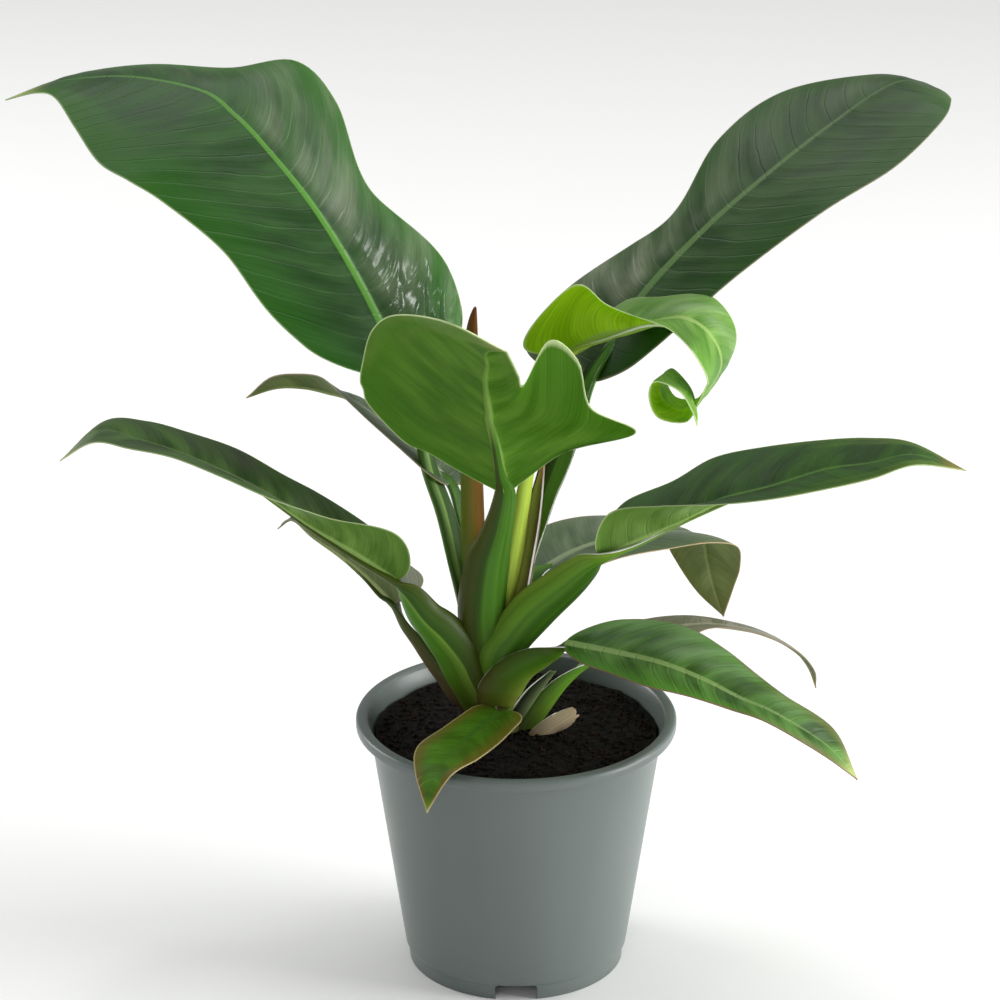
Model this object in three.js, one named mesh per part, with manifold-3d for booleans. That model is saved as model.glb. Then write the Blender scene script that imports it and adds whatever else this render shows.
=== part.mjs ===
// A young leafy foliage plant in its round nursery pot: pot, soil, a short stem and twelve leaves.
import * as THREE from 'three';
import { mergeVertices } from 'three/addons/utils/BufferGeometryUtils.js';
import Module from 'manifold-3d';

const wasm = await Module();
wasm.setup();

// Driving dimensions: millimetres and degrees, measured from the pot's axis at the level of its foot.
const POT_AXIS = [20.5, -5.5];    // where the pot's axis stands, from the middle of the whole outline
const POT_HEIGHT = 140.5;
const RIM_RADIUS = 85;
const RIM_BAND = 5.7;             // height of the rim's outer band
const RIM_INNER_RADIUS = 79.6;
const WALL = 1.6;
const WALL_TOP_RADIUS = 77.6;
const WALL_FOOT_RADIUS = 59.4;
const FOOT_RADIUS = 57.3;
const FOOT_HEIGHT = 9.5;
const FOOT_RING = 2;              // thickness of the foot ring
const NOTCH_TOP = 22;             // the gaps in the foot ring, wider at the bottom
const NOTCH_BOTTOM = 25;
const NOTCH_ANGLES = [-90, 30, 150];
const DRAIN_RADIUS = 4;
const DRAIN_CIRCLE = 38;
const DRAIN_COUNT = 6;
const SOIL_LEVEL = 131;
const SOIL_BUMP = 1.2;
const STEM_CENTRE = [-8, 4];
const STEM_RADIUS = 11;
const STEM_TOP = 172;
const STEM_BOTTOM = 122;
const GAP = 0.3;                  // air between two pieces that lie against each other
const BLADE_THICKNESS = 1.2;
const MARGIN_THICKNESS = 0.8;
const CAMBER = 10;                // bulge of each half of a blade between rib and margin
const LOBE_SHARE = 0.3;           // the part of a blade that its basal lobes draw back
const ROUNDED_SHARE = 0.12;       // the part of a blade in which its base widens
const SPINE_SAMPLES = 240;
const MARGIN_LEAST = 0.8;         // half width that a blade keeps at its very tip
const STALK_EDGE = 1.2;           // thickness of a stalk's two edges

// A blade is a row of stations along its midrib:
// x, y, z, lift of the left half, its width, lift of the right half, its width.
// A stalk is a row of stations from the crown up to the blade:
// x, y, z, half width, wrap, thickness and the compass direction it faces.
// facing is the compass direction of the leaf, lobes are how far its two basal lobes reach back,
// slants shift each station's left and right margin towards the tip, and a high sweep keeps that
// shift close to the margin.
const LEAVES = [
  {
    name: 'leaf_front',
    rows: 22,
    columns: 8,
    color: 0x4a7a2c,
    facing: -95,
    lobes: [4, 4],
    stalk: [
      [-11, -4, 150, 14, 70, 2.5, -90],
      [-18, -9, 187, 15.5, 75, 3, -90],
      [-18, -12, 208, 16, 72, 4, -90],
      [-15, -15, 232, 14, 68, 5, -92],
      [-12, -17, 244, 10.5, 60, 5, -94],
      [-8.5, -21, 260, 7.5, 48, 6, -95],
      [-6, -25, 277, 5.5, 35, 5, -95],
    ],
    blade: [
      [-6, -25, 277, 5, 3, 5, 5],
      [-9, -36, 296, 10, 32, 10, 35],
      [-10, -42, 306, 9, 71, 10, 50],
      [-13, -51, 322, 0, 53, 14, 66],
      [-14, -55, 328, 0, 48, 15, 68],
      [-14, -60, 334, 0, 33, 16, 70],
      [-15, -68, 344, -5, 20, 19, 69],
      [-16, -83, 360, -6, 17, 24, 64],
      [-15, -94, 372, -8, 13, 24, 51],
      [-15, -112, 386, -5, 9, 12, 28],
      [-6, -128, 392, 0, 0, 0, 0],
    ],
    slants: [
      [0, 0],
      [4, 4],
      [0, 1],
      [14, 3],
      [57, -1],
      [73, -5],
      [22, -7],
      [11, -4],
      [9, 7],
      [6, 34],
      [0, 0],
    ],
    sweep: 4,
  },
  {
    name: 'leaf_young',
    rows: 26,
    color: 0x8fbf3a,
    facing: -20,
    lobes: [6, 30],
    stalk: [
      [-9, 2, 172, 8, 60, 2.5, -60],
      [-7, 1, 195, 8, 60, 2.5, -60],
      [-1, -2, 226, 7, 60, 3, -60],
      [3, -4, 256, 5.5, 55, 4, -60],
      [7, -6, 284, 4.5, 45, 4, -50],
      [15, -6, 320, 4, 40, 4, -30],
      [28, -5, 346, 4, 35, 4, -20],
    ],
    blade: [
      [28, -5, 346, 10, 14, 75, 26],
      [42, -8, 355, 10, 22, 75, 33],
      [57, -11, 360, 10, 40, 70, 19],
      [72, -14, 366, 8, 33, 30, 10],
      [84, -17, 369, 0, 36, -10, 17],
      [95, -20, 364, 0, 35, 0, 28],
      [102, -22, 354, 0, 31, 0, 26],
      [103, -24, 345, 0, 24, 0, 19],
      [99, -25, 337, 0, 20, 0, 17],
      [93, -26, 328, 0, 18, 0, 16],
      [84, -27, 323, 0, 17, 0, 16],
      [74, -28, 329, 0, 16, 0, 16],
      [72, -29, 338, 0, 13, 0, 15],
      [76, -31, 344, 0, 8, 0, 13],
      [86, -37, 338, 0, 4, 0, 8],
      [90, -44, 329, 0, 2, 0, 4],
      [91, -49, 323, 0, 0, 0, 0],
    ],
    slants: [
      [0, -26],
      [0, 17],
      [-3, 8],
      [-4, 0],
      [-3, 1],
      [-6, 2],
      [-9, 5],
      [-12, 6],
      [-8, 0],
    ],
  },
  {
    name: 'leaf_upper_left',
    rows: 16,
    color: 0x2c5630,
    facing: 154,
    lobes: [9, 14],
    stalk: [
      [-12, 6, 156, 12, 70, 2.5, 130],
      [-22, 7, 180, 11, 68, 3, 132],
      [-28, 9, 205, 9.5, 65, 4, 136],
      [-33, 12, 226, 8.5, 58, 5, 140],
      [-39, 17, 250, 7, 50, 6, 146],
      [-46, 21, 270, 6.5, 45, 6, 150],
      [-50, 24, 288, 6.2, 42, 6, 154],
      [-58, 28, 322, 5.5, 35, 5, 154],
    ],
    blade: [
      [-58, 28, 322, -20, 30, 5, 52],
      [-83, 52, 366, -25, 55, 5, 72],
      [-107, 74, 399, -25, 60, 5, 48],
      [-134, 94, 427, -25, 69, 8, 68],
      [-149, 103, 440, -25, 74, 10, 66],
      [-166, 112, 450, -25, 70, 5, 34],
      [-203, 124, 454, -20, 47, 0, 26],
      [-236, 129, 451, -12, 21, 0, 18],
      [-254, 131, 446, -10, 8, 0, 9],
      [-272, 132, 439, 0, 0, 0, 0],
    ],
    slants: [
      [8, 0],
      [0, 0],
      [0, 0],
      [0, 4],
      [7, 8],
      [24, 0],
      [18, -4],
      [5, -8],
      [0, -4],
    ],
  },
  {
    name: 'leaf_upper_right',
    rows: 14,
    color: 0x33523a,
    facing: 29,
    lobes: [32, 12],
    stalk: [
      [-6, 5, 158, 12, 70, 2.5, 45],
      [-3, 7, 184, 10, 70, 3, 52],
      [2, 8, 208, 8, 65, 5, 60],
      [5.5, 11, 226, 7, 58, 6, 66],
      [10, 13, 243, 7, 52, 6, 70],
      [15.5, 14, 262, 7.5, 48, 6, 72],
      [21, 15, 277, 8.5, 46, 6, 70],
      [30, 15, 302, 8.5, 42, 6, 56],
      [39, 15, 326, 6.5, 35, 5, 29],
    ],
    blade: [
      [39, 15, 326, 15, 62, -10, 6],
      [64, 32, 362, 10, 48, -15, 29],
      [97, 50, 393, 10, 25, -15, 38],
      [131, 68, 418, 10, 45, -10, 48],
      [165, 88, 439, 8, 46, -10, 55],
      [197, 104, 456, 0, 20, -10, 47],
      [216, 114, 453, 0, 8, -5, 27],
      [228, 119, 446, 0, 0, 0, 0],
    ],
    slants: [
      [8, 0],
      [-5, -8],
      [-6, -6],
    ],
  },
  {
    name: 'leaf_back_left',
    color: 0x55654a,
    facing: 156,
    lobes: [7, 18],
    stalk: [
      [-14, 8, 160, 10, 70, 2.5, 110],
      [-21, 12, 190, 9, 70, 2.5, 112],
      [-25, 17, 221, 7.5, 60, 3.5, 118],
      [-26, 22, 234, 6, 55, 4, 125],
      [-30, 27, 246, 4.5, 48, 4, 140],
      [-35, 30, 260, 4, 40, 4, 156],
    ],
    blade: [
      [-35, 30, 260, 20, 18, 10, 24],
      [-53, 42, 274, 22, 28, -5, 28],
      [-72, 52, 287, 24, 28, -20, 28],
      [-88, 60, 296, 30, 24, -20, 22],
      [-100, 65, 298, 50, 16, -15, 16],
      [-113, 70, 299, 65, 10, 0, 12],
      [-128, 75, 297, 60, 8, 0, 8],
      [-144, 78, 290, 0, 0, 0, 0],
    ],
  },
  {
    name: 'leaf_back_right',
    color: 0x5b6440,
    facing: 50,
    lobes: [4, 4],
    stalk: [
      [-6, 9, 150, 11, 70, 2.5, 70],
      [-3, 11, 170, 10, 70, 3, 65],
      [1, 15, 186, 7, 60, 4, 60],
      [6, 19, 199, 5, 45, 4.5, 55],
      [12, 24, 211, 4.5, 40, 4, 50],
    ],
    blade: [
      [12, 24, 211, 15, 18, 10, 20],
      [31, 48, 213, 15, 26, 10, 32],
      [56, 74, 211, 5, 32, 5, 35],
      [81, 96, 205, 0, 34, 5, 35],
      [101, 112, 196, 0, 32, 0, 28],
      [106, 118, 179, 0, 26, 0, 23],
      [110, 116, 163, 0, 14, 0, 14],
      [115, 112, 148, 0, 0, 0, 0],
    ],
  },
  {
    name: 'leaf_mid_right',
    color: 0x3c6e30,
    facing: -2,
    lobes: [4, 6],
    stalk: [
      [-10, -6, 145, 15, 70, 2.5, -90],
      [-9, -13, 177, 15, 72, 3, -90],
      [-3, -13, 187, 14.5, 70, 3.5, -88],
      [10, -13, 203, 15.5, 66, 4.5, -86],
      [26, -13, 218, 13, 58, 5, -82],
      [38, -12.5, 229.5, 10, 52, 5, -72],
      [45, -12, 235, 7, 42, 5, -45],
    ],
    blade: [
      [45, -12, 234, 25, 26, 72, 17],
      [64, -13, 245, 18, 36, 70, 26],
      [85, -14, 256, 12, 40, 45, 29],
      [105, -15, 268, 10, 44, 20, 30],
      [131, -16, 276, 10, 41, 10, 29],
      [159, -17, 286, 8, 32, 0, 26],
      [182, -18, 290, 5, 30, 0, 21],
      [204, -19, 295, 0, 18, 0, 14],
      [231, -20, 287, 0, 0, 0, 0],
    ],
  },
  {
    name: 'leaf_mid_left',
    color: 0x4b6b3a,
    facing: 175,
    lobes: [12, 12],
    stalk: [
      [-15, -6, 140, 14, 70, 2.5, -90],
      [-25, -11, 163, 15.5, 72, 3, -90],
      [-31, -12, 177, 15.5, 70, 3.5, -92],
      [-40, -13, 191, 14.5, 68, 4.5, -94],
      [-49, -14, 202, 11.3, 60, 5, -98],
      [-58, -14, 217, 8.3, 50, 5, -125],
      [-65, -14, 224, 5, 40, 5, -185],
    ],
    blade: [
      [-64, -14, 223, 72, 20, 10, 24],
      [-83, -14, 237, 72, 27, 10, 30],
      [-106, -12, 252, 50, 19, 10, 32],
      [-127, -10, 268, 22, 28, 10, 25],
      [-151, -6, 280, 18, 28, 10, 26],
      [-175, -3, 290, 16, 26, 10, 22],
      [-196, 0, 296, 10, 24, 8, 21],
      [-216, 2, 300, 0, 16, 0, 15],
      [-237, 4, 283, 0, 0, 0, 0],
    ],
  },
  {
    name: 'leaf_under_left',
    color: 0x6b7460,
    facing: 162,
    lobes: [4, 10],
    stalk: [
      [-17, 3, 137, 10, 70, 2.5, -95],
      [-30, 3, 149, 8, 65, 3, -95],
      [-37, 4, 158, 6.5, 60, 4, -100],
      [-44, 5, 167, 5.5, 55, 4.5, -105],
      [-51, 6, 177, 4.8, 50, 4.5, -115],
      [-59, 7, 188, 4.5, 45, 4.5, -150],
      [-65, 8, 201, 4.5, 40, 4, -198],
    ],
    blade: [
      [-65, 8, 200, 70, 12, 10, 38],
      [-79, 14, 213, 70, 13, 10, 30],
      [-93, 18, 224, 70, 12, 10, 24],
      [-107, 22, 233, 60, 10, 10, 18],
      [-118, 26, 241, 20, 6, 0, 6],
      [-126, 28, 235, 0, 0, 0, 0],
    ],
  },
  {
    name: 'leaf_low_right',
    color: 0x4c7a35,
    facing: -21,
    lobes: [0, 0],
    stalk: [
      [-10, -9, 137, 14, 70, 2.5, -90],
      [-9, -17, 156, 14.5, 70, 3, -88],
      [-4, -18, 165, 14, 70, 4, -85],
      [3, -19, 173, 12, 68, 4.5, -82],
      [12, -20, 179, 10.3, 60, 5, -78],
      [20, -21, 184, 8, 50, 5, -60],
      [26, -22, 189, 5, 40, 4.5, -21],
    ],
    blade: [
      [25, -22, 191, 15, 18, -10, 12],
      [54, -34, 190, 15, 31, -10, 18],
      [75, -44, 189, 15, 33, -10, 22],
      [96, -53, 184, 15, 28, -10, 17],
      [115, -61, 177, 12, 23, -5, 13],
      [132, -68, 172, 10, 17, 0, 12],
      [158, -76, 158, 5, 16, 0, 10],
      [175, -80, 140, 0, 0, 0, 0],
    ],
  },
  {
    name: 'leaf_low_back',
    color: 0x7c7a62,
    facing: 28,
    lobes: [4, 4],
    stalk: [
      [4, 0, 127, 7, 60, 3, -60],
      [14, 3, 141, 8, 60, 3, -60],
      [23, 6, 152, 7, 60, 3.5, -50],
      [32, 10, 160, 5, 50, 4, -30],
      [40, 15, 164, 4, 45, 4, 0],
      [50, 22, 166, 4, 40, 4, 28],
    ],
    blade: [
      [50, 22, 165, 0, 18, 0, 18],
      [72, 36, 171, 0, 18, 0, 22],
      [99, 52, 169, 0, 15, 10, 10],
      [124, 65, 161, 0, 10, 10, 9],
      [141, 73, 152, 0, 8, 0, 8],
      [154, 79, 141, 0, 6, 0, 6],
      [162, 83, 129, 0, 4, 0, 4],
      [165, 85, 117, 0, 0, 0, 0],
    ],
  },
  {
    name: 'leaf_small_front',
    color: 0x4d6d2c,
    facing: -117,
    lobes: [4, 4],
    stalk: [
      [-12, -7, 143, 8, 60, 3, -100],
      [-9, -13, 148, 6, 50, 3, -105],
      [-7, -18, 151, 4, 30, 3, -117],
    ],
    blade: [
      [-7, -18, 151, 5, 15, 5, 14],
      [-24, -44, 148, 5, 19, 5, 16],
      [-35, -66, 147, 5, 17, 5, 18],
      [-42, -84, 145, 0, 9, 0, 11],
      [-46, -98, 130, 0, 0, 0, 0],
    ],
  },
];

// Loose sheaths round the crown, as stalk stations.
const SHEATHS = [
  {
    name: 'sheath_withered',
    color: 0x9b6a45,
    stalk: [
      [1, 1, 180, 8, 80, 1.2, 45],
      [4, 1, 205, 8.5, 85, 1.2, 45],
      [7, 1, 228, 8, 80, 1.2, 45],
      [11, 0, 254, 6.5, 65, 1.2, 40],
      [14, -1, 284, 1.5, 30, 1.2, 30],
    ],
  },
  {
    name: 'sheath_dark',
    color: 0x26302a,
    stalk: [
      [-1, -8, 136, 9, 60, 1.2, -40],
      [5, -8, 146, 9, 60, 1.2, -40],
      [12, -7, 157, 8, 50, 1.2, -40],
      [20, -6, 168, 4, 30, 1.2, -40],
    ],
  },
  {
    name: 'sheath_torn',
    color: 0xa48a6c,
    stalk: [
      [9, -7, 128, 5, 50, 1.2, -80],
      [16, -6, 133, 6, 50, 1.2, -80],
      [24, -5, 138, 6, 45, 1.2, -80],
      [32, -3, 143, 3, 30, 1.2, -80],
    ],
  },
];

const SPIKE = {
  name: 'new_leaf_spike',
  color: 0x8a5a3a,
  base: [-15, 1, 176],
  tip: [-21, 4, 368],
  radius: 6,
};

const MIDRIB_HALF_WIDTH = 3.2;
const MIDRIB_DEPTH = 3;
const MIDRIB_END = 0.3;           // fraction of the blade where the raised midrib fades out

const radians = THREE.MathUtils.degToRad;

function catmullRom(a, b, c, d, f) {
  const square = (2 * a - 5 * b + 4 * c - d) * f * f;
  const cube = (3 * b - a - 3 * c + d) * f * f * f;
  return 0.5 * (2 * b + (c - a) * f + square + cube);
}

function beyond(end, inner) {
  return end.map((value, k) => 2 * value - inner[k]);
}

function interpolate(rows, u) {
  const last = rows.length - 1;
  const i = Math.min(Math.floor(u), last - 1);
  const before = rows[i - 1] ?? beyond(rows[0], rows[1]);
  const after = rows[i + 2] ?? beyond(rows[last], rows[last - 1]);
  return rows[i].map((value, k) => catmullRom(before[k], value, rows[i + 1][k], after[k], u - i));
}

function sample(rows) {
  const values = [];
  for (let j = 0; j <= SPINE_SAMPLES; j += 1) {
    values.push(interpolate(rows, (j / SPINE_SAMPLES) * (rows.length - 1)));
  }
  return values;
}

function blend(values, j, f) {
  return values[j - 1].map((value, k) => value + (values[j][k] - value) * f);
}

function frameAt(along, facing) {
  const level = new THREE.Vector3(Math.sin(radians(facing)), -Math.cos(radians(facing)), 0);
  const across = level.addScaledVector(along, -along.dot(level)).normalize();
  return { across, up: across.clone().cross(along) };
}

// The line through the stations by arc length, with the across and up directions at each point.
// A stalk has no facing of its own: each of its stations brings one.
function makeSpine(rows, facing) {
  const values = sample(rows);
  const points = values.map((row) => new THREE.Vector3(row[0], row[1], row[2]));
  const lengths = [0];
  for (let j = 1; j < points.length; j += 1) {
    lengths.push(lengths[j - 1] + points[j].distanceTo(points[j - 1]));
  }
  const total = lengths[SPINE_SAMPLES];
  return (t) => {
    const target = t * total;
    let j = lengths.findIndex((length) => length >= target);
    j = Math.max(j, 1);
    const f = (target - lengths[j - 1]) / (lengths[j] - lengths[j - 1]);
    const row = blend(values, j, f);
    const low = Math.max(j - 3, 0);
    const high = Math.min(j + 2, SPINE_SAMPLES);
    const along = points[high].clone().sub(points[low]).normalize();
    const point = new THREE.Vector3(row[0], row[1], row[2]);
    return { row, point, along, j, f, ...frameAt(along, facing ?? row[6]) };
  };
}

// A box of the given divisions whose corners are placed by a function of
// across -1..1, along 0..1 and side -1 (under) or 1 (over).
function bentBox(columns, rows, place) {
  const geometry = new THREE.BoxGeometry(2, 1, 1, columns, rows, 1);
  const position = geometry.attributes.position;
  for (let i = 0; i < position.count; i += 1) {
    const v = position.getX(i);
    const t = position.getY(i) + 0.5;
    const side = Math.sign(position.getZ(i));
    const p = place(v, t, side);
    position.setXYZ(i, p.x, p.y, p.z);
  }
  alignDiagonals(geometry);
  return geometry;
}

// A box's last group is its under side, whose squares are split the other way than those on top of
// them. They are split alike here, so that a thin twisted blade keeps its thickness everywhere.
function alignDiagonals(geometry) {
  const { index } = geometry;
  const under = geometry.groups.at(-1);
  for (let k = under.start; k < under.start + under.count; k += 6) {
    const [a, b, c, d] = [index.getX(k), index.getX(k + 1), index.getX(k + 4), index.getX(k + 2)];
    [a, b, c, a, c, d].forEach((corner, n) => index.setX(k + n, corner));
  }
}

// One margin of a blade, sampled like its midrib: place and slant. hand is -1 or 1.
function marginSamples(leaf, hand) {
  const points = leaf.blade.map((row) => row.slice(0, 3));
  const last = points.length - 1;
  const rows = leaf.blade.map((row, k) => {
    const before = new THREE.Vector3(...(points[k - 1] ?? beyond(points[0], points[1])));
    const after = new THREE.Vector3(...(points[k + 1] ?? beyond(points[last], points[last - 1])));
    const along = after.sub(before).normalize();
    const { across, up } = frameAt(along, leaf.facing);
    const lift = radians(hand > 0 ? row[5] : row[3]);
    const width = hand > 0 ? row[6] : row[4];
    const slant = (leaf.slants?.[k] ?? [0, 0])[hand > 0 ? 1 : 0];
    const edge = new THREE.Vector3(...points[k])
      .addScaledVector(across, hand * Math.cos(lift) * width)
      .addScaledVector(up, Math.sin(lift) * width);
    return [...edge.toArray(), ...along.multiplyScalar(slant).toArray()];
  });
  return sample(rows);
}

function bladeGeometry(leaf, spine, grow) {
  const margins = { left: marginSamples(leaf, -1), right: marginSamples(leaf, 1) };
  const camber = radians(CAMBER);
  return bentBox(leaf.columns ?? 6, leaf.rows ?? 10, (v, step, side) => {
    const t = 0.5 - 0.5 * Math.cos(Math.PI * step);
    const { point, along, across, up, j, f } = spine(t);
    const right = v > 0;
    const hand = right ? 1 : -1;
    const reach = Math.abs(v);
    const margin = blend(right ? margins.right : margins.left, j, f);
    const end = Math.sqrt(1 - (1 - Math.min(t / ROUNDED_SHARE, 1)) ** 2);
    const chord = new THREE.Vector3(...margin.slice(0, 3)).sub(point).multiplyScalar(end);
    const swept = new THREE.Vector3(...margin.slice(3)).multiplyScalar(end * reach ** (leaf.sweep ?? 2));
    const width = Math.max(chord.length(), MARGIN_LEAST) + grow;
    const straight = chord.addScaledVector(across, hand * 1e-3).normalize();
    const normal = straight.clone().multiplyScalar(hand).cross(along).normalize();
    const lobe = leaf.lobes[right ? 1 : 0] * reach * end * Math.max(1 - t / LOBE_SHARE, 0);
    const leaned = normal.clone().addScaledVector(straight, -camber * (1 - 2 * reach)).normalize();
    const tilt = reach === 0 ? up : leaned;
    const thickness = BLADE_THICKNESS + (MARGIN_THICKNESS - BLADE_THICKNESS) * reach + 2 * grow;
    return point.clone()
      .addScaledVector(straight, width * reach)
      .add(swept)
      .addScaledVector(along, -lobe)
      .addScaledVector(normal, camber * width * reach * (1 - reach))
      .addScaledVector(tilt, side * thickness / 2);
  });
}

// A channelled strip through stalk stations.
function channelGeometry(spine, rows, grow) {
  return bentBox(4, rows, (v, t, side) => {
    const { row, point, across, up } = spine(t);
    const wrap = Math.max(radians(row[4]), 0.05);
    const angle = wrap * v;
    const radius = (row[3] + grow) / wrap;
    const edge = Math.min(row[5], STALK_EDGE);
    const thickness = edge + (row[5] - edge) * (1 - v * v) + 2 * grow;
    const reach = radius - side * thickness / 2;
    return point.clone()
      .addScaledVector(across, Math.sin(angle) * reach)
      .addScaledVector(up, radius - Math.cos(angle) * reach);
  });
}

function toSolid(geometry) {
  const bare = geometry.clone();
  bare.deleteAttribute('normal');
  bare.deleteAttribute('uv');
  const merged = mergeVertices(bare, 1e-4);
  const mesh = new wasm.Mesh({
    numProp: 3,
    vertProperties: new Float32Array(merged.attributes.position.array),
    triVerts: new Uint32Array(merged.index.array),
  });
  return new wasm.Manifold(mesh);
}

function toGeometry(solid) {
  const mesh = solid.getMesh();
  const geometry = new THREE.BufferGeometry();
  geometry.setAttribute('position', new THREE.BufferAttribute(mesh.vertProperties, 3));
  geometry.setIndex(new THREE.BufferAttribute(mesh.triVerts, 1));
  geometry.computeVertexNormals();
  return geometry;
}

function largestPiece(solid) {
  const pieces = solid.decompose();
  pieces.sort((a, b) => b.volume() - a.volume());
  return pieces[0];
}

// The stalk goes on as the raised midrib under the blade.
function stalkWithMidrib(leaf, bladeSpine) {
  const ribs = [0.1, 0.28].map((t) => {
    const { point, up } = bladeSpine(t);
    const fade = 1 - t / MIDRIB_END;
    const depth = 1 + (MIDRIB_DEPTH - 1) * fade;
    const low = point.clone().addScaledVector(up, -depth / 2);
    return [low.x, low.y, low.z, 0.8 + (MIDRIB_HALF_WIDTH - 0.8) * fade, 15, depth, leaf.stalk.at(-1)[6]];
  });
  return [...leaf.stalk, ...ribs];
}

function leafSolid(leaf, grow) {
  const bladeSpine = makeSpine(leaf.blade, leaf.facing);
  const stalkSpine = makeSpine(stalkWithMidrib(leaf, bladeSpine));
  const blade = toSolid(bladeGeometry(leaf, bladeSpine, grow));
  const stalk = toSolid(channelGeometry(stalkSpine, 9, grow));
  return blade.add(stalk);
}

function sheathSolid(sheath, grow) {
  return toSolid(channelGeometry(makeSpine(sheath.stalk), 4, grow));
}

function spikeSolid(grow) {
  const base = new THREE.Vector3(...SPIKE.base);
  const tip = new THREE.Vector3(...SPIKE.tip);
  const length = base.distanceTo(tip);
  const r = SPIKE.radius + grow;
  const profile = [
    [0, -grow],
    [r, -grow],
    [r * 0.97, length * 0.4],
    [r * 0.82, length * 0.65],
    [r * 0.6, length * 0.85],
    [r * 0.4, length * 0.94],
    [0, length + grow],
  ].map(([x, y]) => new THREE.Vector2(x, y));
  const geometry = new THREE.LatheGeometry(profile, 10);
  const up = new THREE.Vector3(0, 1, 0);
  const direction = tip.clone().sub(base).normalize();
  geometry.applyQuaternion(new THREE.Quaternion().setFromUnitVectors(up, direction));
  geometry.translate(base.x, base.y, base.z);
  return toSolid(geometry);
}

function latheSolid(pairs, segments) {
  const profile = pairs.map(([radius, z]) => new THREE.Vector2(radius, z));
  const geometry = new THREE.LatheGeometry(profile, segments);
  geometry.rotateX(Math.PI / 2);
  return geometry;
}

function stemSolid(grow) {
  const r = STEM_RADIUS + grow;
  const geometry = latheSolid([
    [0, STEM_BOTTOM - grow],
    [r, STEM_BOTTOM - grow],
    [r, STEM_BOTTOM + 24],
    [r * 0.75, STEM_TOP - 10],
    [r * 0.4, STEM_TOP + grow],
    [0, STEM_TOP + grow],
  ], 16);
  geometry.translate(STEM_CENTRE[0], STEM_CENTRE[1], 0);
  return toSolid(geometry);
}

function potSolid() {
  const bandFoot = POT_HEIGHT - RIM_BAND;
  const inside = WALL_TOP_RADIUS - WALL;
  const ring = latheSolid([
    [0, FOOT_HEIGHT],
    [FOOT_RADIUS - FOOT_RING, FOOT_HEIGHT],
    [FOOT_RADIUS - FOOT_RING, 0],
    [FOOT_RADIUS, 0],
    [FOOT_RADIUS + 0.3, FOOT_HEIGHT - 0.8],
    [WALL_FOOT_RADIUS, FOOT_HEIGHT],
    [WALL_TOP_RADIUS, bandFoot - 0.4],
    [RIM_RADIUS - 0.4, bandFoot],
    [RIM_RADIUS, bandFoot + 0.5],
    [RIM_RADIUS, POT_HEIGHT - 1.2],
    [RIM_RADIUS - 1.3, POT_HEIGHT],
    [RIM_INNER_RADIUS, POT_HEIGHT],
    [RIM_INNER_RADIUS - 1.2, POT_HEIGHT - 1.4],
    [inside, bandFoot - 4],
    [WALL_FOOT_RADIUS - WALL, FOOT_HEIGHT + WALL],
    [0, FOOT_HEIGHT + WALL],
  ], 40);
  let pot = toSolid(ring);
  const corner = 3;
  const notch = new THREE.Shape();
  notch.moveTo(-NOTCH_BOTTOM / 2 - 0.2, -1);
  notch.lineTo(NOTCH_BOTTOM / 2 + 0.2, -1);
  notch.lineTo(NOTCH_TOP / 2, FOOT_HEIGHT - 0.9 - corner);
  notch.quadraticCurveTo(NOTCH_TOP / 2, FOOT_HEIGHT - 0.9, NOTCH_TOP / 2 - corner, FOOT_HEIGHT - 0.9);
  notch.lineTo(corner - NOTCH_TOP / 2, FOOT_HEIGHT - 0.9);
  notch.quadraticCurveTo(-NOTCH_TOP / 2, FOOT_HEIGHT - 0.9, -NOTCH_TOP / 2, FOOT_HEIGHT - 0.9 - corner);
  notch.closePath();
  for (const angle of NOTCH_ANGLES) {
    const cutter = new THREE.ExtrudeGeometry(notch, { depth: 20, bevelEnabled: false, curveSegments: 4 });
    cutter.rotateX(Math.PI / 2);
    cutter.translate(0, -FOOT_RADIUS + 12, 0);
    cutter.rotateZ(radians(angle + 90));
    pot = pot.subtract(toSolid(cutter));
  }
  for (let k = 0; k < DRAIN_COUNT; k += 1) {
    const angle = (2 * Math.PI * k) / DRAIN_COUNT;
    const drill = new THREE.CylinderGeometry(DRAIN_RADIUS, DRAIN_RADIUS, 10, 12);
    drill.rotateX(Math.PI / 2);
    drill.translate(DRAIN_CIRCLE * Math.cos(angle), DRAIN_CIRCLE * Math.sin(angle), FOOT_HEIGHT + 1);
    pot = pot.subtract(toSolid(drill));
  }
  return pot;
}

function soilBump(x, y) {
  const broad = Math.sin(x * 0.11 + 1) * Math.cos(y * 0.13 - 0.4);
  const fine = Math.sin(x * 0.31 - 2) * Math.sin(y * 0.27 + 1);
  return SOIL_BUMP * (0.7 * broad + 0.3 * fine);
}

function soilSolid() {
  const floor = FOOT_HEIGHT + WALL + GAP;
  const foot = WALL_FOOT_RADIUS - WALL - GAP;
  const slope = (WALL_TOP_RADIUS - WALL_FOOT_RADIUS) / (POT_HEIGHT - RIM_BAND - 4 - FOOT_HEIGHT);
  const top = foot + slope * (SOIL_LEVEL - 3 - floor) - 0.6;
  const profile = [
    [0, floor],
    [foot - 0.5, floor],
    [top, SOIL_LEVEL - 1.5],
    [top * 0.8, SOIL_LEVEL],
    [top * 0.55, SOIL_LEVEL],
    [top * 0.3, SOIL_LEVEL + 1],
    [0, SOIL_LEVEL + 1],
  ];
  const geometry = latheSolid(profile, 30);
  const position = geometry.attributes.position;
  for (let i = 0; i < position.count; i += 1) {
    if (position.getZ(i) > SOIL_LEVEL - 0.5) {
      position.setZ(i, position.getZ(i) + soilBump(position.getX(i), position.getY(i)));
    }
  }
  return toSolid(geometry);
}

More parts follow.
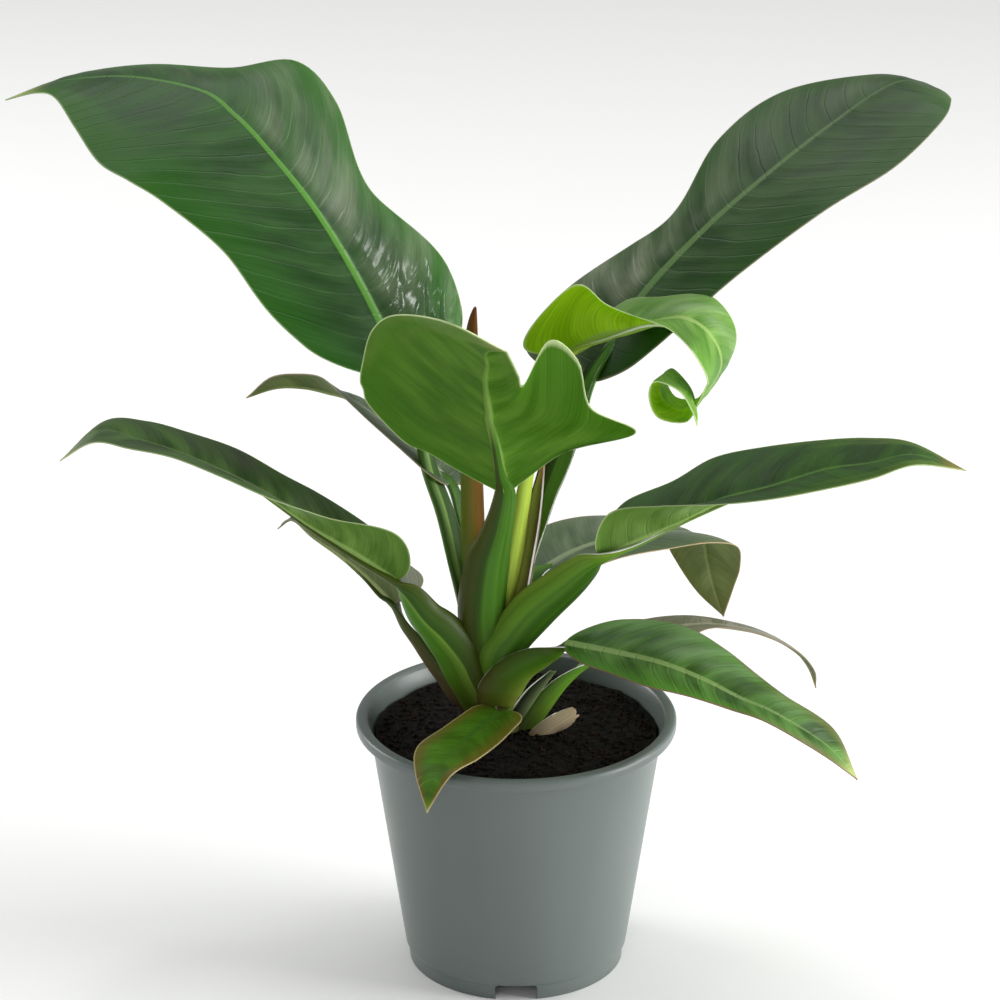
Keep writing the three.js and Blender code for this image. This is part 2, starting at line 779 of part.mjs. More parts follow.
// From the heart of the crown outwards: each piece is cut back to leave air round those before it.
const planted = [
  { name: 'stem', color: 0x5a5a38, make: stemSolid },
  { name: SPIKE.name, color: SPIKE.color, make: spikeSolid },
  ...LEAVES.map((leaf) => ({ name: leaf.name, color: leaf.color, make: (grow) => leafSolid(leaf, grow) })),
  ...SHEATHS.map((piece) => ({
    name: piece.name,
    color: piece.color,
    make: (grow) => sheathSolid(piece, grow),
  })),
];

const plant = new THREE.Group();
plant.position.set(POT_AXIS[0], POT_AXIS[1], 0);

function addMesh(name, solid, color, roughness) {
  const material = new THREE.MeshStandardMaterial({ color, roughness, metalness: 0 });
  const mesh = new THREE.Mesh(toGeometry(solid), material);
  mesh.name = name;
  plant.add(mesh);
}

const pot = potSolid();
addMesh('pot', pot, 0x66706f, 0.45);

const taken = [];
for (const piece of planted) {
  let solid = piece.make(0);
  for (const other of taken) {
    solid = solid.subtract(other);
  }
  addMesh(piece.name, largestPiece(solid), piece.color, 0.5);
  taken.push(piece.make(GAP + 0.05));
}

let soil = soilSolid();
for (const other of taken) {
  soil = soil.subtract(other);
}
addMesh('soil', largestPiece(soil), 0x1c1710, 0.95);

const part = new THREE.Group();
part.add(plant);

export default part;
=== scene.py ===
"""A young foliage plant in its nursery pot: twelve leathery leaves, soil and a moulded pot."""
import math

import bpy
import numpy as np
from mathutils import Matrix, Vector, noise


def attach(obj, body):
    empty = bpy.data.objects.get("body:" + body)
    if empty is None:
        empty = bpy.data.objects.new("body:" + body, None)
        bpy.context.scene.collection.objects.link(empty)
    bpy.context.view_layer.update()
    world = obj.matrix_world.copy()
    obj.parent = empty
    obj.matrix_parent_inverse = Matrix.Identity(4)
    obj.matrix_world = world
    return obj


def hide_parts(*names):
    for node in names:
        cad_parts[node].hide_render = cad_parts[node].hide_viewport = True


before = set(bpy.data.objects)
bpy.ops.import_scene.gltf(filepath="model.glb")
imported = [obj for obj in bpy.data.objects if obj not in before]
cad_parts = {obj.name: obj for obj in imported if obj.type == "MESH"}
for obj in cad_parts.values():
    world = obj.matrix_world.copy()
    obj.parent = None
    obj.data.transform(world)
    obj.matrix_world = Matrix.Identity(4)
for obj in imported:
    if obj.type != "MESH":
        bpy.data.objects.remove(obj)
bpy.ops.object.select_all(action="DESELECT")
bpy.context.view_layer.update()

MM = 0.001
POT_AXIS = (20.5, -5.5)  # the pot's axis in the shared frame, millimetres

# The pot, millimetres
POT_HEIGHT = 140.5
RIM_RADIUS = 85.0
RIM_BAND = 5.7
RIM_INNER_RADIUS = 79.6
WALL = 1.6
WALL_TOP_RADIUS = 77.6
WALL_FOOT_RADIUS = 59.4
FOOT_RADIUS = 57.3
FOOT_HEIGHT = 9.5
FOOT_RING = 2.0
NOTCH_WIDTH = 22.5
NOTCH_REACH = 14.0
NOTCH_CORNER = 2.5
NOTCH_ANGLES = (-90, 30, 150)
DRAIN_RADIUS = 4.0
DRAIN_CIRCLE = 38.0
DRAIN_COUNT = 6

# The soil, millimetres
SOIL_LEVEL = 131.0
SOIL_GAP = 1.6  # between the soil and the inside of the pot near the top
CRUMBS = 2600
FLECKS = 0.09  # share of the crumbs that are pale fibres

# The leaves: stations along each midrib (x, y, z, lift of the left half, its width, lift of the
# right half, its width) and along each stalk (x, y, z, half width, wrap, thickness, facing), from
# the pot's axis, in millimetres and degrees. slants move a station's margins towards the tip, and
# sweep is how late across a half that starts. lobes is how far the left and right lobes reach back
# past the base, and veins the distance between side veins. Three colours are dark tissue, light
# tissue and the outer part; bands run across a stalk, from 0 to 1, and base is its foot. The sheen
# entry is painted sheen: the half whose colour takes a painted grey reflection, its amount and
# colour, and where along the blade it is thickest. puckers is the half that is blistered near the
# stalk, and thin the share of light that comes through.
LEAVES = [
    dict(
        name="front", slot="leaf_green", facing=-95, lobes=(4, 4), veins=10,
        stalk=[
            (-11, -4, 150, 14, 70, 2.5, -90), (-18, -9, 187, 15.5, 75, 3, -90),
            (-18, -12, 208, 16, 72, 4, -90), (-15, -15, 232, 14, 68, 5, -92),
            (-12, -17, 244, 10.5, 60, 5, -94), (-8.5, -21, 260, 7.5, 48, 6, -95),
            (-6, -25, 277, 5.5, 35, 5, -95),
        ],
        blade=[
            (-6, -25, 277, 5, 3, 5, 5), (-9, -36, 296, 10, 32, 10, 35), (-10, -42, 306, 9, 71, 10, 50),
            (-13, -51, 322, 0, 53, 14, 66), (-14, -55, 328, 0, 48, 15, 68), (-14, -60, 334, 0, 33, 16, 70),
            (-15, -68, 344, -5, 20, 19, 69), (-16, -83, 360, -6, 17, 24, 64),
            (-15, -94, 372, -8, 13, 24, 51), (-15, -112, 386, -5, 9, 12, 28), (-6, -128, 392, 0, 0, 0, 0),
        ],
        slants=[
            (0, 0), (4, 4), (0, 1), (14, 3), (57, -1), (73, -5), (22, -7), (11, -4), (9, 7), (6, 34), (0, 0),
        ],
        sweep=4, upper=("3c5a2c", "557a45", "476f2c"), under=("3f6c10", "588424", "42760c"), rib="7f9f4c",
        under_rib="7da04a", edge="c5d69c", tip="8a8f5a", blush="6d8a3a",
        bands=((0, "3c6418"), (0.4, "2f5210"), (0.5, "43701c"), (0.58, "2f4a10"), (0.7, "38440f"),
               (1, "3f4212")),
        thin=0.15, base="3f3a18",
    ),
    dict(
        name="young", slot="leaf_lime", facing=-20, lobes=(6, 30), veins=8,
        stalk=[
            (-9, 2, 172, 8, 60, 2.5, -60), (-7, 1, 195, 8, 60, 2.5, -60), (-1, -2, 226, 7, 60, 3, -60),
            (3, -4, 256, 5.5, 55, 4, -60), (7, -6, 284, 4.5, 45, 4, -50), (15, -6, 320, 4, 40, 4, -30),
            (28, -5, 346, 4, 35, 4, -20),
        ],
        blade=[
            (28, -5, 346, 10, 14, 75, 26), (42, -8, 355, 10, 22, 75, 33), (57, -11, 360, 10, 40, 70, 19),
            (72, -14, 366, 8, 33, 30, 10), (84, -17, 369, 0, 36, -10, 17), (95, -20, 364, 0, 35, 0, 28),
            (102, -22, 354, 0, 31, 0, 26), (103, -24, 345, 0, 24, 0, 19), (99, -25, 337, 0, 20, 0, 17),
            (93, -26, 328, 0, 18, 0, 16), (84, -27, 323, 0, 17, 0, 16), (74, -28, 329, 0, 16, 0, 16),
            (72, -29, 338, 0, 13, 0, 15), (76, -31, 344, 0, 8, 0, 13), (86, -37, 338, 0, 4, 0, 8),
            (90, -44, 329, 0, 2, 0, 4), (91, -49, 323, 0, 0, 0, 0),
        ],
        slants=[(0, -26), (0, 17), (-3, 8), (-4, 0), (-3, 1), (-6, 2), (-9, 5), (-12, 6), (-8, 0)],
        upper=("5f9430", "90ba60", "7cae48"), under=("b0e010", "ccf434", "bcec18"), rib="b4d080",
        under_rib="b9d86a", edge="e0efb4", tip="7fb52c", blush="98bc6c", painted_sheen=(-1, 0.75, "a9bf98", 0.4),
        bands=((0, "c0d850"), (0.5, "9cc030"), (0.75, "b8d450"), (1, "8fb030")), thin=0.45,
        base="5f6a20",
    ),
    dict(
        name="upper_left", slot="leaf_dark", facing=154, lobes=(9, 14), veins=13,
        stalk=[
            (-12, 6, 156, 12, 70, 2.5, 130), (-22, 7, 180, 11, 68, 3, 132), (-28, 9, 205, 9.5, 65, 4, 136),
            (-33, 12, 226, 8.5, 58, 5, 140), (-39, 17, 250, 7, 50, 6, 146), (-46, 21, 270, 6.5, 45, 6, 150),
            (-50, 24, 288, 6.2, 42, 6, 154), (-58, 28, 322, 5.5, 35, 5, 154),
        ],
        blade=[
            (-58, 28, 322, -20, 30, 5, 52), (-83, 52, 366, -25, 55, 5, 72), (-107, 74, 399, -25, 60, 5, 48),
            (-134, 94, 427, -25, 69, 8, 68), (-149, 103, 440, -25, 74, 10, 66),
            (-166, 112, 450, -25, 70, 5, 34), (-203, 124, 454, -20, 47, 0, 26),
            (-236, 129, 451, -12, 21, 0, 18), (-254, 131, 446, -10, 8, 0, 9), (-272, 132, 439, 0, 0, 0, 0),
        ],
        slants=[(8, 0), (0, 0), (0, 0), (0, 4), (7, 8), (24, 0), (18, -4), (5, -8), (0, -4)],
        upper=("1f4216", "2c5420", "285f10"), under=("4a6f2e", "5f8440", "4d7a2a"), rib="5c9636",
        under_rib="87a95c", edge="8fa870", tip="a9b865", blush="35651c", painted_sheen=(1, 0.4, "8c947c", 0.36),
        bands=((0, "2f5410"), (0.3, "35600f"), (0.42, "7da24a"), (0.52, "355a10"), (1, "2a4a0e")),
        puckers=1, base="33400f",
    ),
    dict(
        name="upper_right", slot="leaf_dark", facing=29, lobes=(32, 12), veins=12,
        stalk=[
            (-6, 5, 158, 12, 70, 2.5, 45), (-3, 7, 184, 10, 70, 3, 52), (2, 8, 208, 8, 65, 5, 60),
            (5.5, 11, 226, 7, 58, 6, 66), (10, 13, 243, 7, 52, 6, 70), (15.5, 14, 262, 7.5, 48, 6, 72),
            (21, 15, 277, 8.5, 46, 6, 70), (30, 15, 302, 8.5, 42, 6, 56), (39, 15, 326, 6.5, 35, 5, 29),
        ],
        blade=[
            (39, 15, 326, 15, 62, -10, 6), (64, 32, 362, 10, 48, -15, 29), (97, 50, 393, 10, 25, -15, 38),
            (131, 68, 418, 10, 45, -10, 48), (165, 88, 439, 8, 46, -10, 55),
            (197, 104, 456, 0, 20, -10, 47), (216, 114, 453, 0, 8, -5, 27), (228, 119, 446, 0, 0, 0, 0),
        ],
        slants=[(8, 0), (-5, -8), (-6, -6)],
        upper=("1f3d16", "345226", "285018"), under=("4a6f2e", "5f8440", "4d7a2a"), rib="5f7f47",
        under_rib="87a95c", edge="8a8a70", tip="4e6b3c", blush="3a5a2a", painted_sheen=(-1, 0.7, "98a088", 0.14),
        # The near-black stretch of these bands, from 0 to 0.42, is painted shade: the shaded inside of the
        # stalk's channel.
        bands=((0, "141f08"), (0.42, "18260a"), (0.5, "2f4f14"), (0.58, "4a7a22"), (1, "44701e")),
        base="33400f",
    ),
    dict(
        name="back_left", slot="leaf_grey", facing=156, lobes=(7, 18), veins=9,
        stalk=[
            (-14, 8, 160, 10, 70, 2.5, 110), (-21, 12, 190, 9, 70, 2.5, 112),
            (-25, 17, 221, 7.5, 60, 3.5, 118), (-26, 22, 234, 6, 55, 4, 125),
            (-30, 27, 246, 4.5, 48, 4, 140), (-35, 30, 260, 4, 40, 4, 156),
        ],
        blade=[
            (-35, 30, 260, 20, 18, 10, 24), (-53, 42, 274, 22, 28, -5, 28), (-72, 52, 287, 24, 28, -20, 28),
            (-88, 60, 296, 30, 24, -20, 22), (-100, 65, 298, 50, 16, -15, 16),
            (-113, 70, 299, 65, 10, 0, 12), (-128, 75, 297, 60, 8, 0, 8), (-144, 78, 290, 0, 0, 0, 0),
        ],
        upper=("34482a", "56684a", "485e36"), under=("4d5f2c", "6a7a42", "56692f"), rib="8e9c78",
        under_rib="97a56c", edge="a3937a", tip="5c6f34", blush="5f6a4a", painted_sheen=(1, 0.4, "6f7468", 0.35),
        bands=((0, "3c6414"), (0.5, "4f7a22"), (1, "2f5210")), base="3f3a1c",
    ),
    dict(
        name="back_right", slot="leaf_grey", facing=50, lobes=(4, 4), veins=9,
        stalk=[
            (-6, 9, 150, 11, 70, 2.5, 70), (-3, 11, 170, 10, 70, 3, 65), (1, 15, 186, 7, 60, 4, 60),
            (6, 19, 199, 5, 45, 4.5, 55), (12, 24, 211, 4.5, 40, 4, 50),
        ],
        blade=[
            (12, 24, 211, 15, 18, 10, 20), (31, 48, 213, 15, 26, 10, 32), (56, 74, 211, 5, 32, 5, 35),
            (81, 96, 205, 0, 34, 5, 35), (101, 112, 196, 0, 32, 0, 28), (106, 118, 179, 0, 26, 0, 23),
            (110, 116, 163, 0, 14, 0, 14), (115, 112, 148, 0, 0, 0, 0),
        ],
        upper=("34482a", "56684a", "485e36"), under=("5a6a30", "76844a", "66783a"), rib="7d8a68",
        under_rib="a0a866", edge="a08d6c", tip="6b6a38", blush="6f7440", painted_sheen=(-1, 0.4, "6f7468", 0.35),
        bands=((0, "4f7a22"), (0.5, "3c6414"), (1, "2f5210")), base="3f3a1c",
    ),
    dict(
        name="mid_right", slot="leaf_green", facing=-2, lobes=(4, 6), veins=11,
        stalk=[
            (-10, -6, 145, 15, 70, 2.5, -90), (-9, -13, 177, 15, 72, 3, -90),
            (-3, -13, 187, 14.5, 70, 3.5, -88), (10, -13, 203, 15.5, 66, 4.5, -86),
            (26, -13, 218, 13, 58, 5, -82), (38, -12.5, 229.5, 10, 52, 5, -72),
            (45, -12, 235, 7, 42, 5, -45),
        ],
        blade=[
            (45, -12, 234, 25, 26, 72, 17), (64, -13, 245, 18, 36, 70, 26), (85, -14, 256, 12, 40, 45, 29),
            (105, -15, 268, 10, 44, 20, 30), (131, -16, 276, 10, 41, 10, 29), (159, -17, 286, 8, 32, 0, 26),
            (182, -18, 290, 5, 30, 0, 21), (204, -19, 295, 0, 18, 0, 14), (231, -20, 287, 0, 0, 0, 0),
        ],
        upper=("1f400a", "325a16", "2a5410"), under=("4d7026", "6c8c42", "5d8232"), rib="5f8a3a",
        under_rib="8aa95c", edge="a5b480", tip="8c7a3c", blush="657f2c", painted_sheen=(-1, 0.2, "5f7a40", 0.35),
        bands=((0, "203a0a"), (0.38, "284610"), (0.5, "335a10"), (0.7, "55801c"), (1, "6f8a30")),
        base="2f4410",
    ),
    dict(
        name="mid_left", slot="leaf_green", facing=175, lobes=(12, 12), veins=11,
        stalk=[
            (-15, -6, 140, 14, 70, 2.5, -90), (-25, -11, 163, 15.5, 72, 3, -90),
            (-31, -12, 177, 15.5, 70, 3.5, -92), (-40, -13, 191, 14.5, 68, 4.5, -94),
            (-49, -14, 202, 11.3, 60, 5, -98), (-58, -14, 217, 8.3, 50, 5, -125),
            (-65, -14, 224, 5, 40, 5, -185),
        ],
        blade=[
            (-64, -14, 223, 72, 20, 10, 24), (-83, -14, 237, 72, 27, 10, 30),
            (-106, -12, 252, 50, 19, 10, 32), (-127, -10, 268, 22, 28, 10, 25),
            (-151, -6, 280, 18, 28, 10, 26), (-175, -3, 290, 16, 26, 10, 22), (-196, 0, 296, 10, 24, 8, 21),
            (-216, 2, 300, 0, 16, 0, 15), (-237, 4, 283, 0, 0, 0, 0),
        ],
        upper=("284416", "4c6c32", "3c5e24"), under=("45681a", "6c8f3c", "4f7826"), rib="6f8058",
        under_rib="8aa95c", edge="a5b480", tip="8a8f3c", blush="4a5a38", painted_sheen=(1, 0.85, "3c4434", 0.5),
        bands=((0, "404c14"), (0.3, "384e12"), (0.46, "2f5210"), (0.52, "6a8e34"), (0.6, "3f7012"),
               (1, "4a7c1c")),
        base="40380f",
    ),
    dict(
        name="under_left", slot="leaf_grey", facing=162, lobes=(4, 10), veins=8,
        stalk=[
            (-17, 3, 137, 10, 70, 2.5, -95), (-30, 3, 149, 8, 65, 3, -95), (-37, 4, 158, 6.5, 60, 4, -100),
            (-44, 5, 167, 5.5, 55, 4.5, -105), (-51, 6, 177, 4.8, 50, 4.5, -115),
            (-59, 7, 188, 4.5, 45, 4.5, -150), (-65, 8, 201, 4.5, 40, 4, -198),
        ],
        blade=[
            (-65, 8, 200, 70, 12, 10, 38), (-79, 14, 213, 70, 13, 10, 30), (-93, 18, 224, 70, 12, 10, 24),
            (-107, 22, 233, 60, 10, 10, 18), (-118, 26, 241, 20, 6, 0, 6), (-126, 28, 235, 0, 0, 0, 0),
        ],
        upper=("545e46", "767e66", "666c50"), under=("55623a", "747f52", "5f6d3f"), rib="8e9480",
        under_rib="97a56c", edge="a39a84", tip="6f7040", blush="77705c", painted_sheen=(1, 0.5, "8a8a80", 0.35),
        bands=((0, "3f4f1a"), (0.5, "4a5a22"), (1, "5a4a34")), base="4a3424",
    ),
    dict(
        name="low_right", slot="leaf_green", facing=-21, lobes=(0, 0), veins=9,
        stalk=[
            (-10, -9, 137, 14, 70, 2.5, -90), (-9, -17, 156, 14.5, 70, 3, -88),
            (-4, -18, 165, 14, 70, 4, -85), (3, -19, 173, 12, 68, 4.5, -82),
            (12, -20, 179, 10.3, 60, 5, -78), (20, -21, 184, 8, 50, 5, -60), (26, -22, 189, 5, 40, 4.5, -21),
        ],
        blade=[
            (25, -22, 191, 15, 18, -10, 12), (54, -34, 190, 15, 31, -10, 18),
            (75, -44, 189, 15, 33, -10, 22), (96, -53, 184, 15, 28, -10, 17),
            (115, -61, 177, 12, 23, -5, 13), (132, -68, 172, 10, 17, 0, 12), (158, -76, 158, 5, 16, 0, 10),
            (175, -80, 140, 0, 0, 0, 0),
        ],
        upper=("284a0c", "4f7a30", "4c8024"), under=("4d6a2a", "6b8244", "5c7a34"), rib="7f9a5a",
        under_rib="8aa95c", edge="7a5a48", tip="b0c070", blush="6a4f38", painted_sheen=(-1, 0.6, "86a078", 0.35),
        bands=((0, "86a03a"), (0.35, "5f8a20"), (0.6, "3f6a12"), (1, "3a4a14")), base="5a3420",
    ),
    dict(
        name="low_back", slot="leaf_grey", facing=28, lobes=(4, 4), veins=8,
        stalk=[
            (4, 0, 127, 7, 60, 3, -60), (14, 3, 141, 8, 60, 3, -60), (23, 6, 152, 7, 60, 3.5, -50),
            (32, 10, 160, 5, 50, 4, -30), (40, 15, 164, 4, 45, 4, 0), (50, 22, 166, 4, 40, 4, 28),
        ],
        blade=[
            (50, 22, 165, 0, 18, 0, 18), (72, 36, 171, 0, 18, 0, 22), (99, 52, 169, 0, 15, 10, 10),
            (124, 65, 161, 0, 10, 10, 9), (141, 73, 152, 0, 8, 0, 8), (154, 79, 141, 0, 6, 0, 6),
            (162, 83, 129, 0, 4, 0, 4), (165, 85, 117, 0, 0, 0, 0),
        ],
        upper=("5f6250", "827f6e", "74705c"), under=("55623a", "747f52", "5f6d3f"), rib="9a9a80",
        under_rib="97a56c", edge="8a7464", tip="6f7f34", blush="7a6a58", painted_sheen=(-1, 0.5, "8a8a78", 0.35),
        bands=((0, "5f8a24"), (0.5, "6f9a34"), (1, "4a7420")), base="4f5a20",
    ),
    dict(
        name="small_front", slot="leaf_green", facing=-117, lobes=(4, 4), veins=7,
        stalk=[
            (-12, -7, 143, 8, 60, 3, -100), (-9, -13, 148, 6, 50, 3, -105), (-7, -18, 151, 4, 30, 3, -117),
        ],
        blade=[
            (-7, -18, 151, 5, 15, 5, 14), (-24, -44, 148, 5, 19, 5, 16), (-35, -66, 147, 5, 17, 5, 18),
            (-42, -84, 145, 0, 9, 0, 11), (-46, -98, 130, 0, 0, 0, 0),
        ],
        upper=("3c5c0c", "4a7a14", "6a5c1c"), under=("4d6a2a", "6b8244", "5c7a34"), rib="3f6a1c",
        under_rib="8aa95c", edge="b8a878", tip="7f9a28", blush="6a5020",
        bands=((0, "3f5a18"), (0.5, "4a6a1e"), (1, "4a3a1c")), base="4a3020",
    ),
]

CAMBER = math.radians(10)  # bulge of each half of a blade between rib and margin
SKIN = 0.7  # thickness of a blade, millimetres
THINNING = 0.35  # share of that thickness lost towards the margin
LEAST_HALF = 0.4  # least width of half a blade, millimetres
BASE_SHARE = 0.12  # share of a blade over which its base rounds out
LOBE_SHARE = 0.3  # share of a blade that the lobes at its base draw back
QUILT = 0.12  # height of the quilting between side veins, millimetres
QUILT_EDGE = 6  # width over which it fades at rib and margin, millimetres
VEIN_SWEEP = 0.75  # how far a side vein runs on towards the tip across a half
VEIN_FLUTTER = 3  # how far a side vein strays, millimetres
RIB_UP = 0.55  # height of the midrib over a blade, millimetres
RIB_DOWN = 1.9  # and under it
RIB_TIP = 0.7  # half width of the midrib at the tip, millimetres
RIB_SPREAD = 1.9  # and what it gains by the base
SPINE_SAMPLES = 240
SHEET_DEPTH = 0.1  # between the two skins of a flat sheet, before it is shaped


def linear(code):
    """The linear colour of an sRGB hex code."""
    channels = [int(code[k:k + 2], 16) / 255 for k in (0, 2, 4)]
    return [c / 12.92 if c <= 0.04045 else ((c + 0.055) / 1.055) ** 2.4 for c in channels] + [1.0]


def new_material(name):
    """A material, and the function that adds a node with its settings and links to it."""
    made = bpy.data.materials.new(name)
    made.use_nodes = True
    tree = made.node_tree
    tree.nodes.clear()

    def add(kind, inputs=None, **settings):
        """inputs gives values or sources: a socket, or a node, which stands for its first output."""
        node = tree.nodes.new("ShaderNode" + kind)
        for key, value in settings.items():
            setattr(node, key, value)
        for spot, source in (inputs or {}).items():
            if isinstance(source, bpy.types.Node):
                source = source.outputs[0]
            if isinstance(source, bpy.types.NodeSocket):
                tree.links.new(source, node.inputs[spot])
            else:
                node.inputs[spot].default_value = source
        return node

    return made, add


# ---- shapes

def lengthened(rows):
    """The rows with one more at each end, in line with the last two there."""
    return np.vstack([2 * rows[0] - rows[1], rows, 2 * rows[-1] - rows[-2]])


def spline(rows):
    """A smooth curve through the rows, sampled evenly between each two of them."""
    table = np.array(rows, float)
    padded = lengthened(table)
    u = np.linspace(0, len(table) - 1, SPINE_SAMPLES + 1)
    i = np.minimum(u.astype(int), len(table) - 2)
    f = (u - i)[:, None]
    a, b, c, d = padded[i], padded[i + 1], padded[i + 2], padded[i + 3]
    square = (2 * a - 5 * b + 4 * c - d) * f ** 2
    cube = (3 * b - a - 3 * c + d) * f ** 3
    return 0.5 * (2 * b + (c - a) * f + square + cube)


def columns_at(table, lengths, places):
    """The table's columns at places measured along its lengths."""
    return np.stack([np.interp(places, lengths, table[:, k]) for k in range(table.shape[1])], axis=1)


def unit(vectors):
    return vectors / np.linalg.norm(vectors, axis=1, keepdims=True)


def sideways(along, facing):
    """Across and up directions of lines that run along, for a piece that points to facing."""
    turn = np.radians(facing)
    level = np.stack([np.sin(turn), -np.cos(turn), np.zeros_like(turn)], axis=-1)
    across = unit(level - along * np.sum(along * level, axis=1, keepdims=True))
    return across, np.cross(across, along)


class Spine:
    """The line through the stations by arc length, with its across and up directions.

    facing is the compass direction the piece points in: one value, or the column that holds it."""

    def __init__(self, rows, facing=None, column=None):
        self.table = spline(rows)
        points = self.table[:, :3]
        steps = np.linalg.norm(np.diff(points, axis=0), axis=1)
        self.lengths = np.concatenate([[0], np.cumsum(steps)])
        self.length = self.lengths[-1]
        tangents = np.gradient(points, self.lengths, axis=0)
        padded = np.pad(tangents, ((2, 2), (0, 0)), mode="edge")
        kernel = np.ones(5) / 5
        self.tangents = np.stack([np.convolve(padded[:, k], kernel, "valid") for k in range(3)], axis=1)
        self.facing = facing
        self.column = column

    def at(self, t):
        places = np.clip(t, 0, 1) * self.length
        rows = columns_at(self.table, self.lengths, places)
        along = unit(columns_at(self.tangents, self.lengths, places))
        return rows, along, *sideways(along, rows[:, self.column] if self.column else self.facing)


def smooth(value, low, high):
    share = np.clip((value - low) / (high - low), 0, 1)
    return share * share * (3 - 2 * share)


def finish_with(piece, kind, **settings):
    """Adds one modifier with its settings to the active piece and applies it."""
    made = piece.modifiers.new(kind, kind)
    for key, value in settings.items():
        setattr(made, key, value)
    bpy.ops.object.modifier_apply(modifier=made.name)


def new_piece(name):
    """The piece that was just added, named."""
    piece = bpy.context.object
    piece.name = name
    piece.data.name = name
    return piece


def sheet(name, columns, rows):
    """Adds a flat closed sheet of two skins, the upper one first, joined round the rim."""
    bpy.ops.mesh.primitive_grid_add(x_subdivisions=columns, y_subdivisions=rows, size=2)
    piece = new_piece(name)
    for slot in range(2):
        piece.data.materials.append(None)
    finish_with(piece, "SOLIDIFY", thickness=SHEET_DEPTH, offset=-1, material_offset=1, material_offset_rim=0)
    return piece


def get_corners(piece):
    flat = np.zeros(len(piece.data.vertices) * 3)
    piece.data.vertices.foreach_get("co", flat)
    return flat.reshape(-1, 3)


def sheet_places(piece):
    """Each corner's place on a sheet: across -1..1, along 0..1 and skin 1 or -1."""
    flat = get_corners(piece)
    return flat[:, 0], (flat[:, 1] + 1) / 2, np.where(flat[:, 2] > -SHEET_DEPTH / 2, 1.0, -1.0)


def from_axis(points):
    """Points in metres in the shared frame, from millimetres from the pot's axis."""
    return (points + np.array([POT_AXIS[0], POT_AXIS[1], 0.0])) * MM


def set_corners(piece, points):
    piece.data.vertices.foreach_set("co", points.astype(np.float32).ravel())
    piece.data.update()


def set_attribute(piece, name, vectors):
    made = piece.data.attributes.new(name, "FLOAT_VECTOR", "POINT")
    made.data.foreach_set("vector", vectors.astype(np.float32).ravel())


def margin_rows(leaf, hand):
    """The margin's stations on one half of a blade and how far each is slanted towards the tip."""
    rows = np.array(leaf["blade"], float)
    points = rows[:, :3]
    padded = lengthened(points)
    along = unit(padded[2:] - padded[:-2])
    across, up = sideways(along, leaf["facing"])
    first = 5 if hand > 0 else 3
    lift = np.radians(rows[:, first])[:, None]
    width = rows[:, first + 1][:, None]
    slants = leaf.get("slants", [])
    slant = [pair[hand > 0] for pair in slants] + [0] * (len(rows) - len(slants))
    reach = width * (hand * np.cos(lift) * across + np.sin(lift) * up)
    return np.hstack([points + reach, np.array(slant, float)[:, None] * along])


def blade_surface(leaf, v, t, side):
    """Corner places of a blade in millimetres, and the places and shares its finish reads."""
    spine = Spine(leaf["blade"], leaf["facing"])
    rows, along, across, up = spine.at(t)
    hand = np.where(v > 0, 1.0, -1.0)
    reach = np.abs(v)
    places = np.clip(t, 0, 1) * spine.length
    left = columns_at(spline(margin_rows(leaf, -1)), spine.lengths, places)
    right = columns_at(spline(margin_rows(leaf, 1)), spine.lengths, places)
    margin = np.where(hand[:, None] > 0, right, left)
    end = np.sqrt(1 - (1 - np.minimum(t / BASE_SHARE, 1)) ** 2)[:, None]
    chord = (margin[:, :3] - rows[:, :3]) * end
    swept = margin[:, 3:] * end * (reach ** leaf.get("sweep", 2))[:, None]
    width = np.maximum(np.linalg.norm(chord, axis=1), LEAST_HALF)
    straight = unit(chord + hand[:, None] * across * 1e-3)
    normal = unit(np.cross(straight * hand[:, None], along))
    lobe = np.where(hand > 0, leaf["lobes"][1], leaf["lobes"][0]) * reach
    lobe = lobe * np.maximum(1 - t / LOBE_SHARE, 0) * end[:, 0]
    points = rows[:, :3] + straight * (width * reach)[:, None] + swept - along * lobe[:, None]
    points = points + normal * (CAMBER * width * reach * (1 - reach))[:, None]
    tilt = unit(normal - straight * (CAMBER * (1 - 2 * reach))[:, None])
    near = smooth(reach * width, 0, 3)[:, None]
    normal = unit(up * (1 - near) + tilt * near)

    distance = reach * width
    vein = t * spine.length - VEIN_SWEEP * width * reach ** 1.5
    flutter = np.array([noise.noise(Vector((s / 40, h * 3, 0))) for s, h in zip(vein, hand)])
    vein = vein + VEIN_FLUTTER * flutter
    body = np.minimum(distance / QUILT_EDGE, 1) * np.minimum((1 - reach) * width / QUILT_EDGE, 1)
    quilt = -QUILT * np.cos(2 * np.pi * vein / leaf["veins"]) * np.clip(body, 0, 1)
    rib_width = RIB_TIP + RIB_SPREAD * (1 - t) ** 1.2
    bell = np.exp(-(distance / rib_width) ** 2)
    fade = np.clip((1 - t) * 8, 0, 1)
    rib_up = RIB_UP * bell * fade * (1 - 0.6 * t)
    rib_down = RIB_DOWN * np.exp(-(distance / (rib_width * 1.15)) ** 2) * fade * (1 - 0.75 * t)
    skin = SKIN * (1 - THINNING * reach)
    offset = quilt + np.where(side > 0, skin / 2 + rib_up, -skin / 2 - rib_down)
    points = points + normal * offset[:, None]
    place = np.stack([v * width * MM, vein * MM, np.zeros_like(t)], axis=1)
    share = np.stack([reach, t, (1 - reach) * width * MM], axis=1)
    return points, place, share


def ribs_under(leaf):
    """Stations that carry a stalk on under its blade."""
    spine = Spine(leaf["blade"], leaf["facing"])
    rows, along, across, up = spine.at(np.array([0.1, 0.25, 0.42]))
    made = []
    for row, lift, half, depth in zip(rows, up, (2.6, 1.7, 1.0), (2.8, 2.0, 1.2)):
        low = row[:3] - lift * depth / 2
        made.append((low[0], low[1], low[2], half, 15, depth, leaf["stalk"][-1][6]))
    return made


